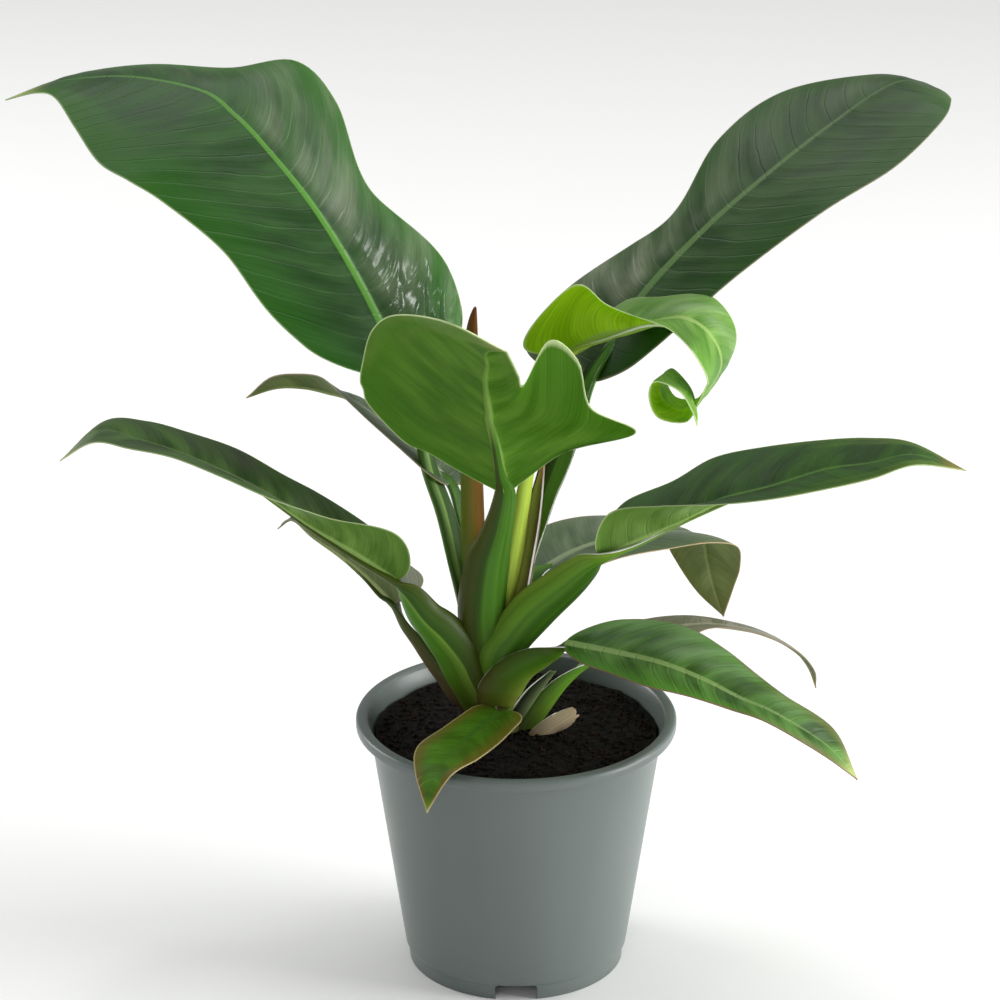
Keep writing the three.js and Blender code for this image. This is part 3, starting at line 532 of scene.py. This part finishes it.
def stalk_surface(stations, v, t, side, ragged=0.0):
    """Corner places of a channelled stalk or sheath in millimetres."""
    rows, along, across, up = Spine(stations, column=6).at(t)
    wrap = np.maximum(np.radians(rows[:, 4]), 0.05)
    angle = wrap * v
    radius = rows[:, 3] / wrap
    edge = np.minimum(rows[:, 5], 1.0)
    thick = edge + (rows[:, 5] - edge) * (1 - v ** 2)
    reach = radius - side * thick / 2
    points = rows[:, :3] + across * (np.sin(angle) * reach)[:, None]
    points = points + up * (radius - np.cos(angle) * reach)[:, None]
    if ragged:
        frays = np.array([noise.noise(Vector((a * 6, b * 9, 2.0))) for a, b in zip(v, t)])
        points = points + along * (ragged * frays * smooth(np.abs(v) + t, 0.6, 1.4))[:, None]
    return points


def make_stalk(name, stations, columns=12, rows=70, ragged=0.0):
    """A stalk or sheath: a sheet rolled into a channel along its stations, with rounded edges."""
    piece = sheet(name, columns, rows)
    v, t, side = sheet_places(piece)
    v = np.sin(v * math.pi / 2)
    set_corners(piece, from_axis(stalk_surface(stations, v, t, side, ragged)))
    length = Spine(stations, column=6).length
    set_attribute(piece, "blade_place", np.stack([v, t * length * MM, side], axis=1))
    set_attribute(piece, "blade_share", np.stack([np.abs(v), t, side], axis=1))
    finish_with(piece, "SUBSURF", levels=1, render_levels=1)
    return piece


def paint(piece, *materials):
    """Gives a piece its materials, one for each of its slots, and keeps which face has which."""
    faces = piece.data.polygons
    slots = np.zeros(len(faces), int)
    faces.foreach_get("material_index", slots)
    piece.data.materials.clear()
    for material in materials:
        piece.data.materials.append(material)
    faces.foreach_set("material_index", slots)


def pick(first, *others):
    """Selects these pieces and nothing else, with the first one active."""
    bpy.ops.object.select_all(action="DESELECT")
    for piece in (first, *others):
        piece.select_set(True)
    bpy.context.view_layer.objects.active = first


def hand_over(piece, slot, *nodes):
    """Smooths a finished piece and has it stand for its CAD nodes."""
    pick(piece)
    bpy.ops.object.shade_smooth_by_angle(angle=math.radians(50))
    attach(piece, "root")
    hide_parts(*nodes)
    piece.select_set(False)


# ---- materials

COLOURS = {"data_type": "RGBA"}
SOFT = {"interpolation_type": "SMOOTHSTEP"}
TIMES = {"operation": "MULTIPLY"}


def surface_places(add):
    """The two attributes of a leaf or stalk, its places and its shares, and the parts of each."""
    place = add("Attribute", attribute_name="blade_place").outputs["Vector"]
    share = add("Attribute", attribute_name="blade_share").outputs["Vector"]
    where = add("SeparateXYZ", {0: place}).outputs
    part = add("SeparateXYZ", {0: share}).outputs
    return place, share, where, part


def leaf_skin(leaf, side):
    """Living leaf skin: a waxed cuticle over green tissue, with pale ribs and a thin pale margin."""
    made, add = new_material("living_leaf_" + side + "_" + leaf["name"])
    dark, light, margin = leaf[side]
    if side == "upper":
        rib, rib_width, gloss, sheen = leaf["rib"], 2.6, 0.0, 0.4
        painted_sheen, puckers = leaf.get("painted_sheen"), leaf.get("puckers", 0)
    else:
        rib, rib_width, gloss, sheen = leaf["under_rib"], 3.0, 0.1, 0.2
        painted_sheen, puckers = None, 0
    gloss = gloss + (0.33 if leaf["slot"] == "leaf_dark" else 0.38)
    place, share, where, part = surface_places(add)
    across = add("Math", {0: where["X"]}, operation="ABSOLUTE")

    # Tissue: clouds about 25 mm wide, drawn out along the veins.
    cloud = add("VectorMath", {0: place, 1: (25, 60, 1)}, **TIMES)
    cloud = add("TexNoise", {"Vector": cloud, "Scale": 1, "Detail": 3})
    tissue = add("MapRange", {0: cloud, 1: 0.35, 2: 0.65}, **SOFT)
    body = add("Mix", {0: tissue, 6: linear(dark), 7: linear(light)}, **COLOURS).outputs[2]
    outer = add("MapRange", {0: part["X"], 1: 0.45, 2: 0.95, 3: 0, 4: 0.75}, **SOFT)
    body = add("Mix", {0: outer, 6: body, 7: linear(margin)}, **COLOURS).outputs[2]

    # Painted sheen: the grey reflection that glossy skin shows at grazing angles, painted into the colour of
    # one half, in soft bands about 30 mm wide along the side veins.
    if painted_sheen:
        half, amount, sheen_colour, centre = painted_sheen
        bands = add("VectorMath", {0: place, 1: (14, 32, 1)}, **TIMES)
        bands = add("TexNoise", {"Vector": bands, "Scale": 1, "Detail": 4})
        bands = add("MapRange", {0: bands, 1: 0.38, 2: 0.62, 3: 0.1, 4: 1}, **SOFT)
        covered = {0: where["X"], 1: 0.001 * half, 2: 0.012 * half, 3: 0, 4: amount}
        covered = add("MapRange", covered, **SOFT)
        off = add("Math", {0: part["Y"], 1: centre}, operation="SUBTRACT")
        off = add("Math", {0: off}, operation="ABSOLUTE")
        fading = add("MapRange", {0: off, 1: 0.04, 2: 0.4, 3: 1, 4: 0.15}, **SOFT)
        for limit in (bands, fading):
            covered = add("Math", {0: covered, 1: limit}, **TIMES)
        body = add("Mix", {0: covered, 6: body, 7: linear(sheen_colour)}, **COLOURS).outputs[2]

    # Grain: fine streaks along the side veins, about 1 mm apart.
    grain = add("VectorMath", {0: place, 1: (16, 850, 1)}, **TIMES)
    grain = add("TexNoise", {"Vector": grain, "Scale": 1, "Detail": 4, "Roughness": 0.7})
    streak = add("MapRange", {0: grain, 1: 0.3, 2: 0.7, 3: 0.8, 4: 1.2})
    body = add("VectorMath", {0: body, 1: streak}, **TIMES)

    # Side veins: a fine pale line at each spacing, stronger on some than on others.
    wavy = add("Math", {0: cloud, 1: 0.01, 2: where["Y"]}, operation="MULTIPLY_ADD")
    fold = add("Math", {0: wavy, 1: leaf["veins"] * MM / 2}, operation="PINGPONG")
    line = add("MapRange", {0: fold, 1: 0, 2: 0.0009, 3: 1, 4: 0}, **SOFT)
    vein = add("MapRange", {0: part["X"], 1: 0.1, 2: 0.9, 3: 0.17, 4: 0.03})
    for limit in (line, tissue):
        vein = add("Math", {0: vein, 1: limit}, **TIMES)

    # Midrib: a pale band that narrows towards the tip.
    narrow = add("MapRange", {0: part["Y"], 1: 0, 2: 1, 3: rib_width * MM, 4: 0.0004})
    beside = add("Math", {0: across, 1: narrow}, operation="DIVIDE")
    band = add("MapRange", {0: beside, 1: 0.75, 2: 1.25, 3: 0.92, 4: 0}, **SOFT)
    paling = add("MapRange", {0: part["Y"], 1: 0.3, 2: 0.8, 3: 1, 4: 0.45})
    band = add("Math", {0: band, 1: paling}, **TIMES)

    # Blush: sun and age colour that comes in patches near the margin and the tip.
    patch = add("TexNoise", {"Vector": share, "Scale": 5, "Detail": 2})
    old = add("Math", {0: part["X"], 1: part["Y"]}, **TIMES)
    old = add("Math", {0: old, 1: patch}, **TIMES)
    old = add("MapRange", {0: old, 1: 0.2, 2: 0.5, 3: 0, 4: 0.7})

    # Tip and hem: the point's own colour, and a pale hem under 1 mm wide round the margin.
    point = add("MapRange", {0: part["Y"], 1: 0.9, 2: 1, 3: 0, 4: 0.85}, **SOFT)
    hem = add("MapRange", {0: part["Z"], 1: 0.0002, 2: 0.0009, 3: 0.9, 4: 0})
    layers = ((vein, rib), (band, rib), (old, leaf["blush"]), (point, leaf["tip"]), (hem, leaf["edge"]))
    for cover, code in layers:
        body = add("Mix", {0: cover, 6: body, 7: linear(code)}, **COLOURS).outputs[2]

    # Cuticle: veins sunk a little, fine grain, and a gloss that varies in soft patches.
    relief = add("Math", {0: grain, 1: 0.5}, **TIMES)
    relief = add("Math", {0: relief, 1: line}, operation="SUBTRACT")
    bump = add("Bump", {"Height": relief, "Strength": 0.3, "Distance": 0.0006})
    wax = add("MapRange", {0: cloud, 1: 0.3, 2: 0.7, 3: gloss - 0.06, 4: gloss + 0.1})

    # Puckers: beside the stalk the young tissue is blistered, about 20 mm across, and shinier.
    if puckers:
        blister = add("VectorMath", {0: place, 1: (30, 55, 1)}, **TIMES)
        blister = {"Vector": blister, "Scale": 1, "Detail": 1, "Distortion": 1.2}
        blister = add("TexNoise", blister)
        near = add("MapRange", {0: part["Y"], 1: 0.12, 2: 0.34, 3: 1, 4: 0}, **SOFT)
        half = add("MapRange", {0: where["X"], 1: 0.002 * puckers, 2: 0.015 * puckers}, **SOFT)
        near = add("Math", {0: near, 1: half}, **TIMES)
        height = add("Math", {0: near, 1: blister}, **TIMES)
        bump = add("Bump", {"Height": height, "Strength": 1, "Distance": 0.007, "Normal": bump})
        polish = add("Math", {0: near, 1: -0.18}, **TIMES)
        wax = add("Math", {0: wax, 1: polish}, operation="ADD")
    skin = add("BsdfPrincipled", {
        "Base Color": body, "Roughness": wax, "IOR": 1.4, "Specular IOR Level": sheen, "Normal": bump,
    })
    if "thin" in leaf:
        through = add("BsdfTranslucent", {"Color": body})
        skin = add("MixShader", {0: leaf["thin"], 1: skin, 2: through})
    add("OutputMaterial", {"Surface": skin})
    return made


def stalk_skin(name, bands, base, reach, tip, roughness, relief):
    """Fibrous skin of a stalk or sheath: bands of colour across it, turning to the base colour low down.

    bands are (place across from 0 to 1, colour) pairs; reach is how far up the base colour goes."""
    made, add = new_material(name)
    place, share, where, part = surface_places(add)

    # Fibres: streaks about 2 mm wide and 100 mm long, coarser than the real ones so that they show.
    fibre = add("VectorMath", {0: place, 1: (7, 10, 1)}, **TIMES)
    fibre = add("TexNoise", {"Vector": fibre, "Scale": 1, "Detail": 4})
    wander = add("MapRange", {0: fibre, 1: 0.3, 2: 0.7, 3: -0.06, 4: 0.06})
    spread = add("MapRange", {0: where["X"], 1: -1.0, 2: 1, 3: 0, 4: 1})
    spread = add("Math", {0: spread, 1: wander}, operation="ADD")
    ramp = add("ValToRGB", {0: spread})
    stops = ramp.color_ramp.elements
    for stop, (spot, code) in zip([stops[0], stops[1]] + [stops.new(0.5) for _ in bands[2:]], bands):
        stop.position = spot
        stop.color = linear(code)
    tone = add("MapRange", {0: fibre, 1: 0.3, 2: 0.7, 3: 0.82, 4: 1.18})
    body = add("VectorMath", {0: ramp, 1: tone}, **TIMES)
    low = add("MapRange", {0: part["Y"], 1: 0, 2: reach, 3: 0.8, 4: 0})
    high = add("MapRange", {0: part["Y"], 1: 0.86, 2: 1, 3: 0, 4: 0.85})
    for cover, code in ((low, base), (high, tip)):
        body = add("Mix", {0: cover, 6: body, 7: linear(code)}, **COLOURS).outputs[2]
    bump = add("Bump", {"Height": fibre, "Strength": relief, "Distance": 0.0006})
    wax = add("MapRange", {0: fibre, 1: 0.3, 2: 0.7, 3: roughness - 0.06, 4: roughness + 0.08})
    skin = add("BsdfPrincipled", {
        "Base Color": body, "Roughness": wax, "IOR": 1.4, "Specular IOR Level": 0.25, "Normal": bump,
    })
    add("OutputMaterial", {"Surface": skin})
    return made


def pot_plastic():
    """Injection-moulded polypropylene: satin blue-grey, with faint flow marks and a fine grain.

    The flow marks are about 30 mm wide and 250 mm tall, and the grain is under 1 mm."""
    made, add = new_material("moulded_polypropylene_grey")
    spot = add("TexCoord").outputs["Object"]
    flow = add("VectorMath", {0: spot, 1: (30, 30, 4)}, **TIMES)
    flow = add("TexNoise", {"Vector": flow, "Scale": 1, "Detail": 3})
    body = add("Mix", {0: flow, 6: linear("59625f"), 7: linear("656e6b")}, **COLOURS).outputs[2]
    grit = add("TexNoise", {"Vector": spot, "Scale": 1400, "Detail": 2})
    bump = add("Bump", {"Height": grit, "Strength": 0.08, "Distance": 0.0002})
    rub = add("MapRange", {0: flow, 1: 0.3, 2: 0.7, 3: 0.3, 4: 0.4})
    skin = add("BsdfPrincipled", {"Base Color": body, "Roughness": rub, "IOR": 1.49, "Normal": bump})
    add("OutputMaterial", {"Surface": skin})
    return made


def peat():
    """Moist peat: near black and matt, in lumps of about 5 mm and finer, with tan fibres."""
    made, add = new_material("moist_peat")
    spot = add("TexCoord").outputs["Object"]
    tint = add("Attribute", attribute_name="crumb_tint").outputs["Fac"]
    lumps = add("TexNoise", {"Vector": spot, "Scale": 220, "Detail": 6})
    tone = add("MapRange", {0: lumps, 1: 0.35, 2: 0.7})
    body = add("Mix", {0: tone, 6: linear("050403"), 7: linear("140e08")}, **COLOURS).outputs[2]
    body = add("Mix", {0: tint, 6: body, 7: linear("5f3c22")}, **COLOURS).outputs[2]
    bump = add("Bump", {"Height": lumps, "Strength": 0.8, "Distance": 0.002})
    skin = add("BsdfPrincipled", {
        "Base Color": body, "Roughness": 0.9, "Specular IOR Level": 0.2, "Normal": bump,
    })
    add("OutputMaterial", {"Surface": skin})
    return made


# ---- pieces

def turned(name, profile, segments):
    """A round piece: a circle extruded and scaled through (radius, height) pairs, millimetres."""
    centre = (POT_AXIS[0] * MM, POT_AXIS[1] * MM, 0)
    radius, height = profile[0]
    bpy.ops.mesh.primitive_circle_add(
        vertices=segments, radius=radius * MM, location=(centre[0], centre[1], height * MM))
    piece = new_piece(name)
    bpy.ops.object.mode_set(mode="EDIT")
    bpy.ops.mesh.select_all(action="SELECT")
    for (r0, z0), (r1, z1) in zip(profile, profile[1:]):
        bpy.ops.mesh.extrude_region_move(TRANSFORM_OT_translate={"value": (0, 0, (z1 - z0) * MM)})
        grow = r1 / r0
        bpy.ops.transform.resize(value=(grow, grow, 1), center_override=(centre[0], centre[1], z1 * MM))
    bpy.ops.mesh.select_all(action="SELECT")
    bpy.ops.mesh.remove_doubles(threshold=1e-6)
    bpy.ops.mesh.select_all(action="DESELECT")
    bpy.ops.mesh.select_non_manifold()
    bpy.ops.mesh.fill_holes(sides=0)
    bpy.ops.mesh.select_all(action="SELECT")
    bpy.ops.mesh.normals_make_consistent(inside=False)
    bpy.ops.object.mode_set(mode="OBJECT")
    bpy.ops.object.transform_apply(location=True, rotation=True, scale=True)
    return piece


def cut(piece, cutter):
    """Takes the cutter's shape out of a piece and removes the cutter."""
    pick(piece)
    finish_with(piece, "BOOLEAN", operation="DIFFERENCE", object=cutter)
    bpy.data.objects.remove(cutter)


def off_axis(turn, radius, height):
    """The place at a turn, radius and height from the pot's axis, in metres."""
    x, y = POT_AXIS[0] + math.cos(turn) * radius, POT_AXIS[1] + math.sin(turn) * radius
    return x * MM, y * MM, height * MM


def make_pot():
    """The pot: foot ring, wall and rolled rim in one moulding, with notches and drain holes."""
    top, band_foot = POT_HEIGHT, POT_HEIGHT - RIM_BAND
    inside = WALL_TOP_RADIUS - WALL
    foot_inside = WALL_FOOT_RADIUS - WALL
    ring = FOOT_RADIUS - FOOT_RING
    pot = turned("pot_moulding", [
        (0.5, FOOT_HEIGHT), (ring - 2, FOOT_HEIGHT), (ring, FOOT_HEIGHT - 0.6), (ring, 0.3),
        (ring + 0.3, 0), (FOOT_RADIUS - 0.3, 0), (FOOT_RADIUS, 0.3),
        (FOOT_RADIUS + 0.3, FOOT_HEIGHT - 0.9), (WALL_FOOT_RADIUS - 0.3, FOOT_HEIGHT - 0.3),
        (WALL_FOOT_RADIUS, FOOT_HEIGHT + 0.3), (WALL_FOOT_RADIUS + 0.4, FOOT_HEIGHT + 3),
        (WALL_TOP_RADIUS - 1.5, band_foot - 12), (WALL_TOP_RADIUS - 0.3, band_foot - 2.5),
        (WALL_TOP_RADIUS + 0.3, band_foot - 0.9), (WALL_TOP_RADIUS + 1.5, band_foot - 0.3),
        (RIM_RADIUS - 0.8, band_foot), (RIM_RADIUS - 0.2, band_foot + 0.3), (RIM_RADIUS, band_foot + 1),
        (RIM_RADIUS, top - 1.6), (RIM_RADIUS - 0.5, top - 0.5), (RIM_RADIUS - 1.5, top),
        (RIM_INNER_RADIUS + 0.7, top), (RIM_INNER_RADIUS - 0.3, top - 0.4),
        (RIM_INNER_RADIUS - 1.1, top - 1.6), (inside + 0.2, band_foot - 3.5), (inside, band_foot - 5),
        (foot_inside, FOOT_HEIGHT + WALL + 1), (foot_inside - 1, FOOT_HEIGHT + WALL),
        (0.5, FOOT_HEIGHT + WALL),
    ], 144)
    for angle in NOTCH_ANGLES:
        turn = math.radians(angle)
        spot = off_axis(turn, FOOT_RADIUS, FOOT_HEIGHT / 2 - 1)
        bpy.ops.mesh.primitive_cube_add(size=1, location=spot, rotation=(0, 0, turn))
        cutter = bpy.context.object
        cutter.scale = (NOTCH_REACH * MM, NOTCH_WIDTH * MM, FOOT_HEIGHT * MM)
        bpy.ops.object.transform_apply(location=True, rotation=True, scale=True)
        finish_with(cutter, "BEVEL", width=NOTCH_CORNER * MM, segments=5)
        cut(pot, cutter)
    for k in range(DRAIN_COUNT):
        spot = off_axis(2 * math.pi * k / DRAIN_COUNT, DRAIN_CIRCLE, FOOT_HEIGHT + 1)
        bpy.ops.mesh.primitive_cylinder_add(
            vertices=32, radius=DRAIN_RADIUS * MM, depth=10 * MM, location=spot)
        cut(pot, bpy.context.object)
    paint(pot, pot_plastic())
    hand_over(pot, "pot_plastic", "pot")


def soil_height(x, y):
    """Height of the soil at a place from the pot's axis, millimetres."""
    broad = noise.noise(Vector((x / 30, y / 30, 1.0))) * 1.6
    fine = noise.noise(Vector((x / 6, y / 6, 5.0))) * 1.0
    grain = noise.noise(Vector((x / 2.2, y / 2.2, 9.0))) * 0.7
    mound = 1.2 * max(1 - math.hypot(x + 8, y - 4) / 45, 0)
    return SOIL_LEVEL - 0.4 + broad + fine + grain + mound


def make_soil():
    """The soil: a solid that fills the pot, with crumbs and fibres strewn on its rough top."""
    inside = WALL_TOP_RADIUS - WALL
    floor = FOOT_HEIGHT + WALL + 0.5
    rings = [(radius, SOIL_LEVEL) for radius in np.linspace(inside - SOIL_GAP, 1.0, 60)]
    body = [(1.0, floor), (WALL_FOOT_RADIUS - WALL - 1, floor), (inside - SOIL_GAP, SOIL_LEVEL - 6)]
    soil = turned("potting_soil", body + rings, 160)
    for corner in soil.data.vertices:
        if corner.co.z > (SOIL_LEVEL - 1) * MM:
            x, y = corner.co.x / MM - POT_AXIS[0], corner.co.y / MM - POT_AXIS[1]
            corner.co.z = soil_height(x, y) * MM
    bpy.ops.mesh.primitive_ico_sphere_add(subdivisions=1, radius=1)
    crumb = bpy.context.object
    shape = np.array([corner.co[:] for corner in crumb.data.vertices])
    faces = np.array([list(face.vertices) for face in crumb.data.polygons])
    bpy.data.objects.remove(crumb)
    dice = np.random.default_rng(7)
    points, loops, tints = [], [], []
    count = 0
    for k in range(CRUMBS):
        radius = (inside - 4) * math.sqrt(dice.random())
        turn = 2 * math.pi * dice.random()
        x, y = radius * math.cos(turn), radius * math.sin(turn)
        size = 0.45 + 1.1 * dice.random() ** 3
        stretch = np.array([1, 1, 1]) * size * (0.7 + 0.6 * dice.random(3))
        fleck = dice.random() < FLECKS
        if fleck:
            stretch = np.array([0.25, 1.4 + dice.random(), 0.25]) * 0.8
        yaw = 2 * math.pi * dice.random()
        lump = shape * stretch * (0.8 + 0.4 * dice.random((len(shape), 1)))
        spun = lump.copy()
        spun[:, 0] = lump[:, 0] * math.cos(yaw) - lump[:, 1] * math.sin(yaw)
        spun[:, 1] = lump[:, 0] * math.sin(yaw) + lump[:, 1] * math.cos(yaw)
        points.append(spun + np.array([x, y, soil_height(x, y) + 0.25 * size]))
        loops.append(faces + count)
        tints.append(np.full(len(shape), 0.25 + 0.6 * dice.random() if fleck else 0.12 * dice.random() ** 2))
        count += len(shape)
    mesh = bpy.data.meshes.new("crumbs")
    mesh.from_pydata(from_axis(np.vstack(points)).tolist(), [], np.vstack(loops).tolist())
    crumbs = bpy.data.objects.new("crumbs", mesh)
    bpy.context.scene.collection.objects.link(crumbs)
    for piece, values in ((crumbs, np.concatenate(tints)), (soil, np.zeros(len(soil.data.vertices)))):
        tint = piece.data.attributes.new("crumb_tint", "FLOAT", "POINT")
        tint.data.foreach_set("value", values.astype(np.float32))
    material = peat()
    paint(soil, material)
    paint(crumbs, material)
    pick(soil, crumbs)
    bpy.ops.object.join()
    hand_over(soil, "potting_soil", "soil")


def make_leaf(leaf):
    """A leaf, blade and stalk in one; corners crowd towards its rib, its base and its tip."""
    name = "leaf_" + leaf["name"]
    blade = sheet(name + "_blade", 60, 110 if leaf["slot"] == "leaf_grey" else 150)
    x, step, side = sheet_places(blade)
    v = np.sign(x) * np.abs(x) * (0.35 + 0.65 * np.abs(x))
    t = 0.65 * step + 0.35 * (0.5 - 0.5 * np.cos(np.pi * step))
    points, place, share = blade_surface(leaf, v, t, side)
    set_corners(blade, from_axis(points))
    set_attribute(blade, "blade_place", place)
    set_attribute(blade, "blade_share", share)
    paint(blade, leaf_skin(leaf, "upper"), leaf_skin(leaf, "under"))
    stalk = make_stalk(name + "_stalk", leaf["stalk"] + ribs_under(leaf))
    finish = (leaf["bands"], leaf["base"], 0.3, leaf["under_rib"], 0.42, 0.3)
    skin = stalk_skin("living_stalk_" + leaf["name"], *finish)
    paint(stalk, skin, skin)
    pick(blade, stalk)
    bpy.ops.object.join()
    hand_over(blade, leaf["slot"], name)


def make_stem():
    """The short stem among the stalks, with the rings of old leaf scars."""
    stem = turned("short_stem", [
        (1, 124), (10, 124), (11, 130), (10.6, 134), (11, 138), (10.2, 143), (10.4, 147), (8.6, 155),
        (7.6, 162), (5.5, 167), (3.5, 170.5), (1, 171.5),
    ], 48)
    shift = get_corners(stem) + np.array([-8, 4, 0]) * MM
    set_corners(stem, shift)
    set_attribute(stem, "blade_place", shift[:, [0, 2, 1]] * [40, 1, 40])
    none = np.zeros(len(shift))
    set_attribute(stem, "blade_share", np.stack([none, (shift[:, 2] - 0.12) * 20, none], axis=1))
    bands = ((0.0, "3f4a22"), (1.0, "5f6a38"))
    paint(stem, stalk_skin("living_stem", bands, "4a3a24", 0.5, "5f6a38", 0.5, 0.3))
    hand_over(stem, "stem_skin", "stem")


def make_spike():
    """The next leaf, still rolled up in its sheath: a slender closed roll that tapers to a point."""
    base, tip = np.array([-15, 1, 176.0]), np.array([-21, 4, 368.0])
    stations = []
    radii = ((0, 6.0), (0.4, 5.8), (0.65, 4.9), (0.85, 3.6), (0.94, 2.4), (0.985, 1.0), (1, 0.25))
    for share, radius in radii:
        centre = base + (tip - base) * share
        stations.append((centre[0], centre[1], centre[2], radius * 3.1, 178, 0.9, -20))
    spike = make_stalk("new_leaf_roll", stations, 32, 60)
    rolled = ((0.02, "c8b888"), (0.06, "4a5018"), (0.3, "5a5a1c"), (0.5, "8a5a20"), (0.66, "7a5a20"),
              (0.76, "5f661c"), (0.94, "4a5f14"), (0.98, "d0c890"))
    skin = stalk_skin("young_rolled_sheath", rolled, "4a5f1c", 0.4, "7a3a22", 0.45, 0.4)
    paint(spike, skin, skin)
    hand_over(spike, "spike_skin", "new_leaf_spike")


SHEATHS = [
    dict(
        name="sheath_withered", slot="dry_sheath", ragged=1.5,
        stations=[
            (1, 1, 180, 8, 80, 1, 45), (4, 1, 205, 8.5, 85, 1, 45), (7, 1, 228, 8, 80, 1, 45),
            (11, 0, 254, 6.5, 65, 1, 40), (14, -1, 284, 1.5, 30, 0.8, 30),
        ],
        outer=((0.1, "b8c85a"), (0.4, "c4d860"), (0.47, "b09860"), (0.55, "c0a070"), (0.62, "9a5636"),
               (0.95, "7a4428")),
        inner=((0.1, "8a9a3c"), (0.4, "2a3010"), (0.7, "4a3a1c"), (0.95, "7a4a2c")), base="7a5a3a",
        tip="a87a52",
    ),
    # Painted shade: this sheath sits in deep shade between two stalks, and its near-black colours stand for
    # that shade.
    dict(
        name="sheath_dark", slot="dark_sheath", ragged=0,
        stations=[
            (-1, -8, 136, 9, 60, 1.2, -40), (5, -8, 146, 9, 60, 1.2, -40), (12, -7, 157, 8, 50, 1.2, -40),
            (20, -6, 168, 4, 30, 1, -40),
        ],
        outer=((0.03, "7a8a5a"), (0.08, "0c1209"), (0.92, "10180c"), (0.97, "7a8a5a")),
        inner=((0, "10180c"), (1, "182012")), base="14180c", tip="3a4a24",
    ),
    dict(
        name="sheath_torn", slot="dry_sheath", ragged=4,
        stations=[
            (9, -7, 128, 5, 50, 0.8, -80), (16, -6, 133, 6, 50, 0.8, -80), (24, -5, 138, 6, 45, 0.8, -80),
            (32, -3, 143, 3, 30, 0.6, -80),
        ],
        outer=((0, "a8987a"), (0.5, "7f6a4e"), (1, "b8a888")), inner=((0, "7d6246"), (1, "9a7a56")),
        base="5a4430", tip="c0a684",
    ),
]


def make_sheaths():
    """The dried sheaths, which show another colour inside than outside; the near-black colours of the dark
    one are painted shade.
    """
    for sheath in SHEATHS:
        name = sheath["name"]
        piece = make_stalk(name + "_leafy", sheath["stations"], 14, 40, sheath["ragged"])
        finish = (sheath["base"], 0.4, sheath["tip"], 0.6, 0.6)
        outer = stalk_skin("dried_" + name + "_outside", sheath["outer"], *finish)
        inner = stalk_skin("dried_" + name + "_inside", sheath["inner"], *finish)
        paint(piece, inner, outer)
        hand_over(piece, sheath["slot"], name)


make_pot()
make_soil()
make_stem()
for leaf in LEAVES:
    make_leaf(leaf)
make_spike()
make_sheaths()

# ---- stage

bpy.ops.mesh.primitive_plane_add(size=14, location=(0, 0, 0))
floor = bpy.context.object
floor.name = "studio_floor"
white, add_white = new_material("studio_floor_paint")
haze = add_white("TexNoise", {"Scale": 3})
tone = add_white("Mix", {0: haze, 6: linear("f4f4f3"), 7: linear("f8f8f7")}, **COLOURS).outputs[2]
matt = add_white("BsdfPrincipled", {"Base Color": tone, "Roughness": 0.9})
add_white("OutputMaterial", {"Surface": matt})
paint(floor, white)


def softbox(name, place, size, power, aim=(0.0, 0.0, 0.25)):
    """A square soft light that looks at the plant."""
    data = bpy.data.lights.new(name, "AREA")
    data.shape = "SQUARE"
    data.size = size
    data.energy = power
    lamp = bpy.data.objects.new(name, data)
    lamp.location = place
    lamp.rotation_mode = "QUATERNION"
    lamp.rotation_quaternion = (Vector(aim) - Vector(place)).to_track_quat("-Z", "Y")
    bpy.context.scene.collection.objects.link(lamp)


softbox("key_right", (1.9, -0.25, 0.55), 1.1, 50)
softbox("rim_left", (-1.7, 0.9, 0.9), 0.9, 20)
softbox("overhead", (0.1, 1.0, 3.2), 3.0, 48)
softbox("front_fill", (-0.5, -2.8, 1.2), 1.8, 14)
softbox("glint_right", (1.27, 0.73, 1.33), 0.26, 4.5)

world = bpy.data.worlds.new("studio_white")
world.use_nodes = True
background = world.node_tree.nodes["Background"]
background.inputs["Color"].default_value = (1, 1, 1, 1)
background.inputs["Strength"].default_value = 0.31
bpy.context.scene.world = world
bpy.context.scene.view_settings.view_transform = "Standard"

CAMERA_AIM = Vector((11.9, -5.5, 262.7)) * MM
CAMERA_DISTANCE = 2340 * MM
CAMERA_ELEVATION = math.radians(22.0)
lens = bpy.data.cameras.new("camera")
lens.lens = 162
lens.sensor_width = 36
camera = bpy.data.objects.new("camera", lens)
back = Vector((0, -math.cos(CAMERA_ELEVATION), math.sin(CAMERA_ELEVATION)))
camera.location = CAMERA_AIM + back * CAMERA_DISTANCE
camera.rotation_mode = "QUATERNION"
camera.rotation_quaternion = (-back).to_track_quat("-Z", "Y")
bpy.context.scene.collection.objects.link(camera)
bpy.context.scene.camera = camera
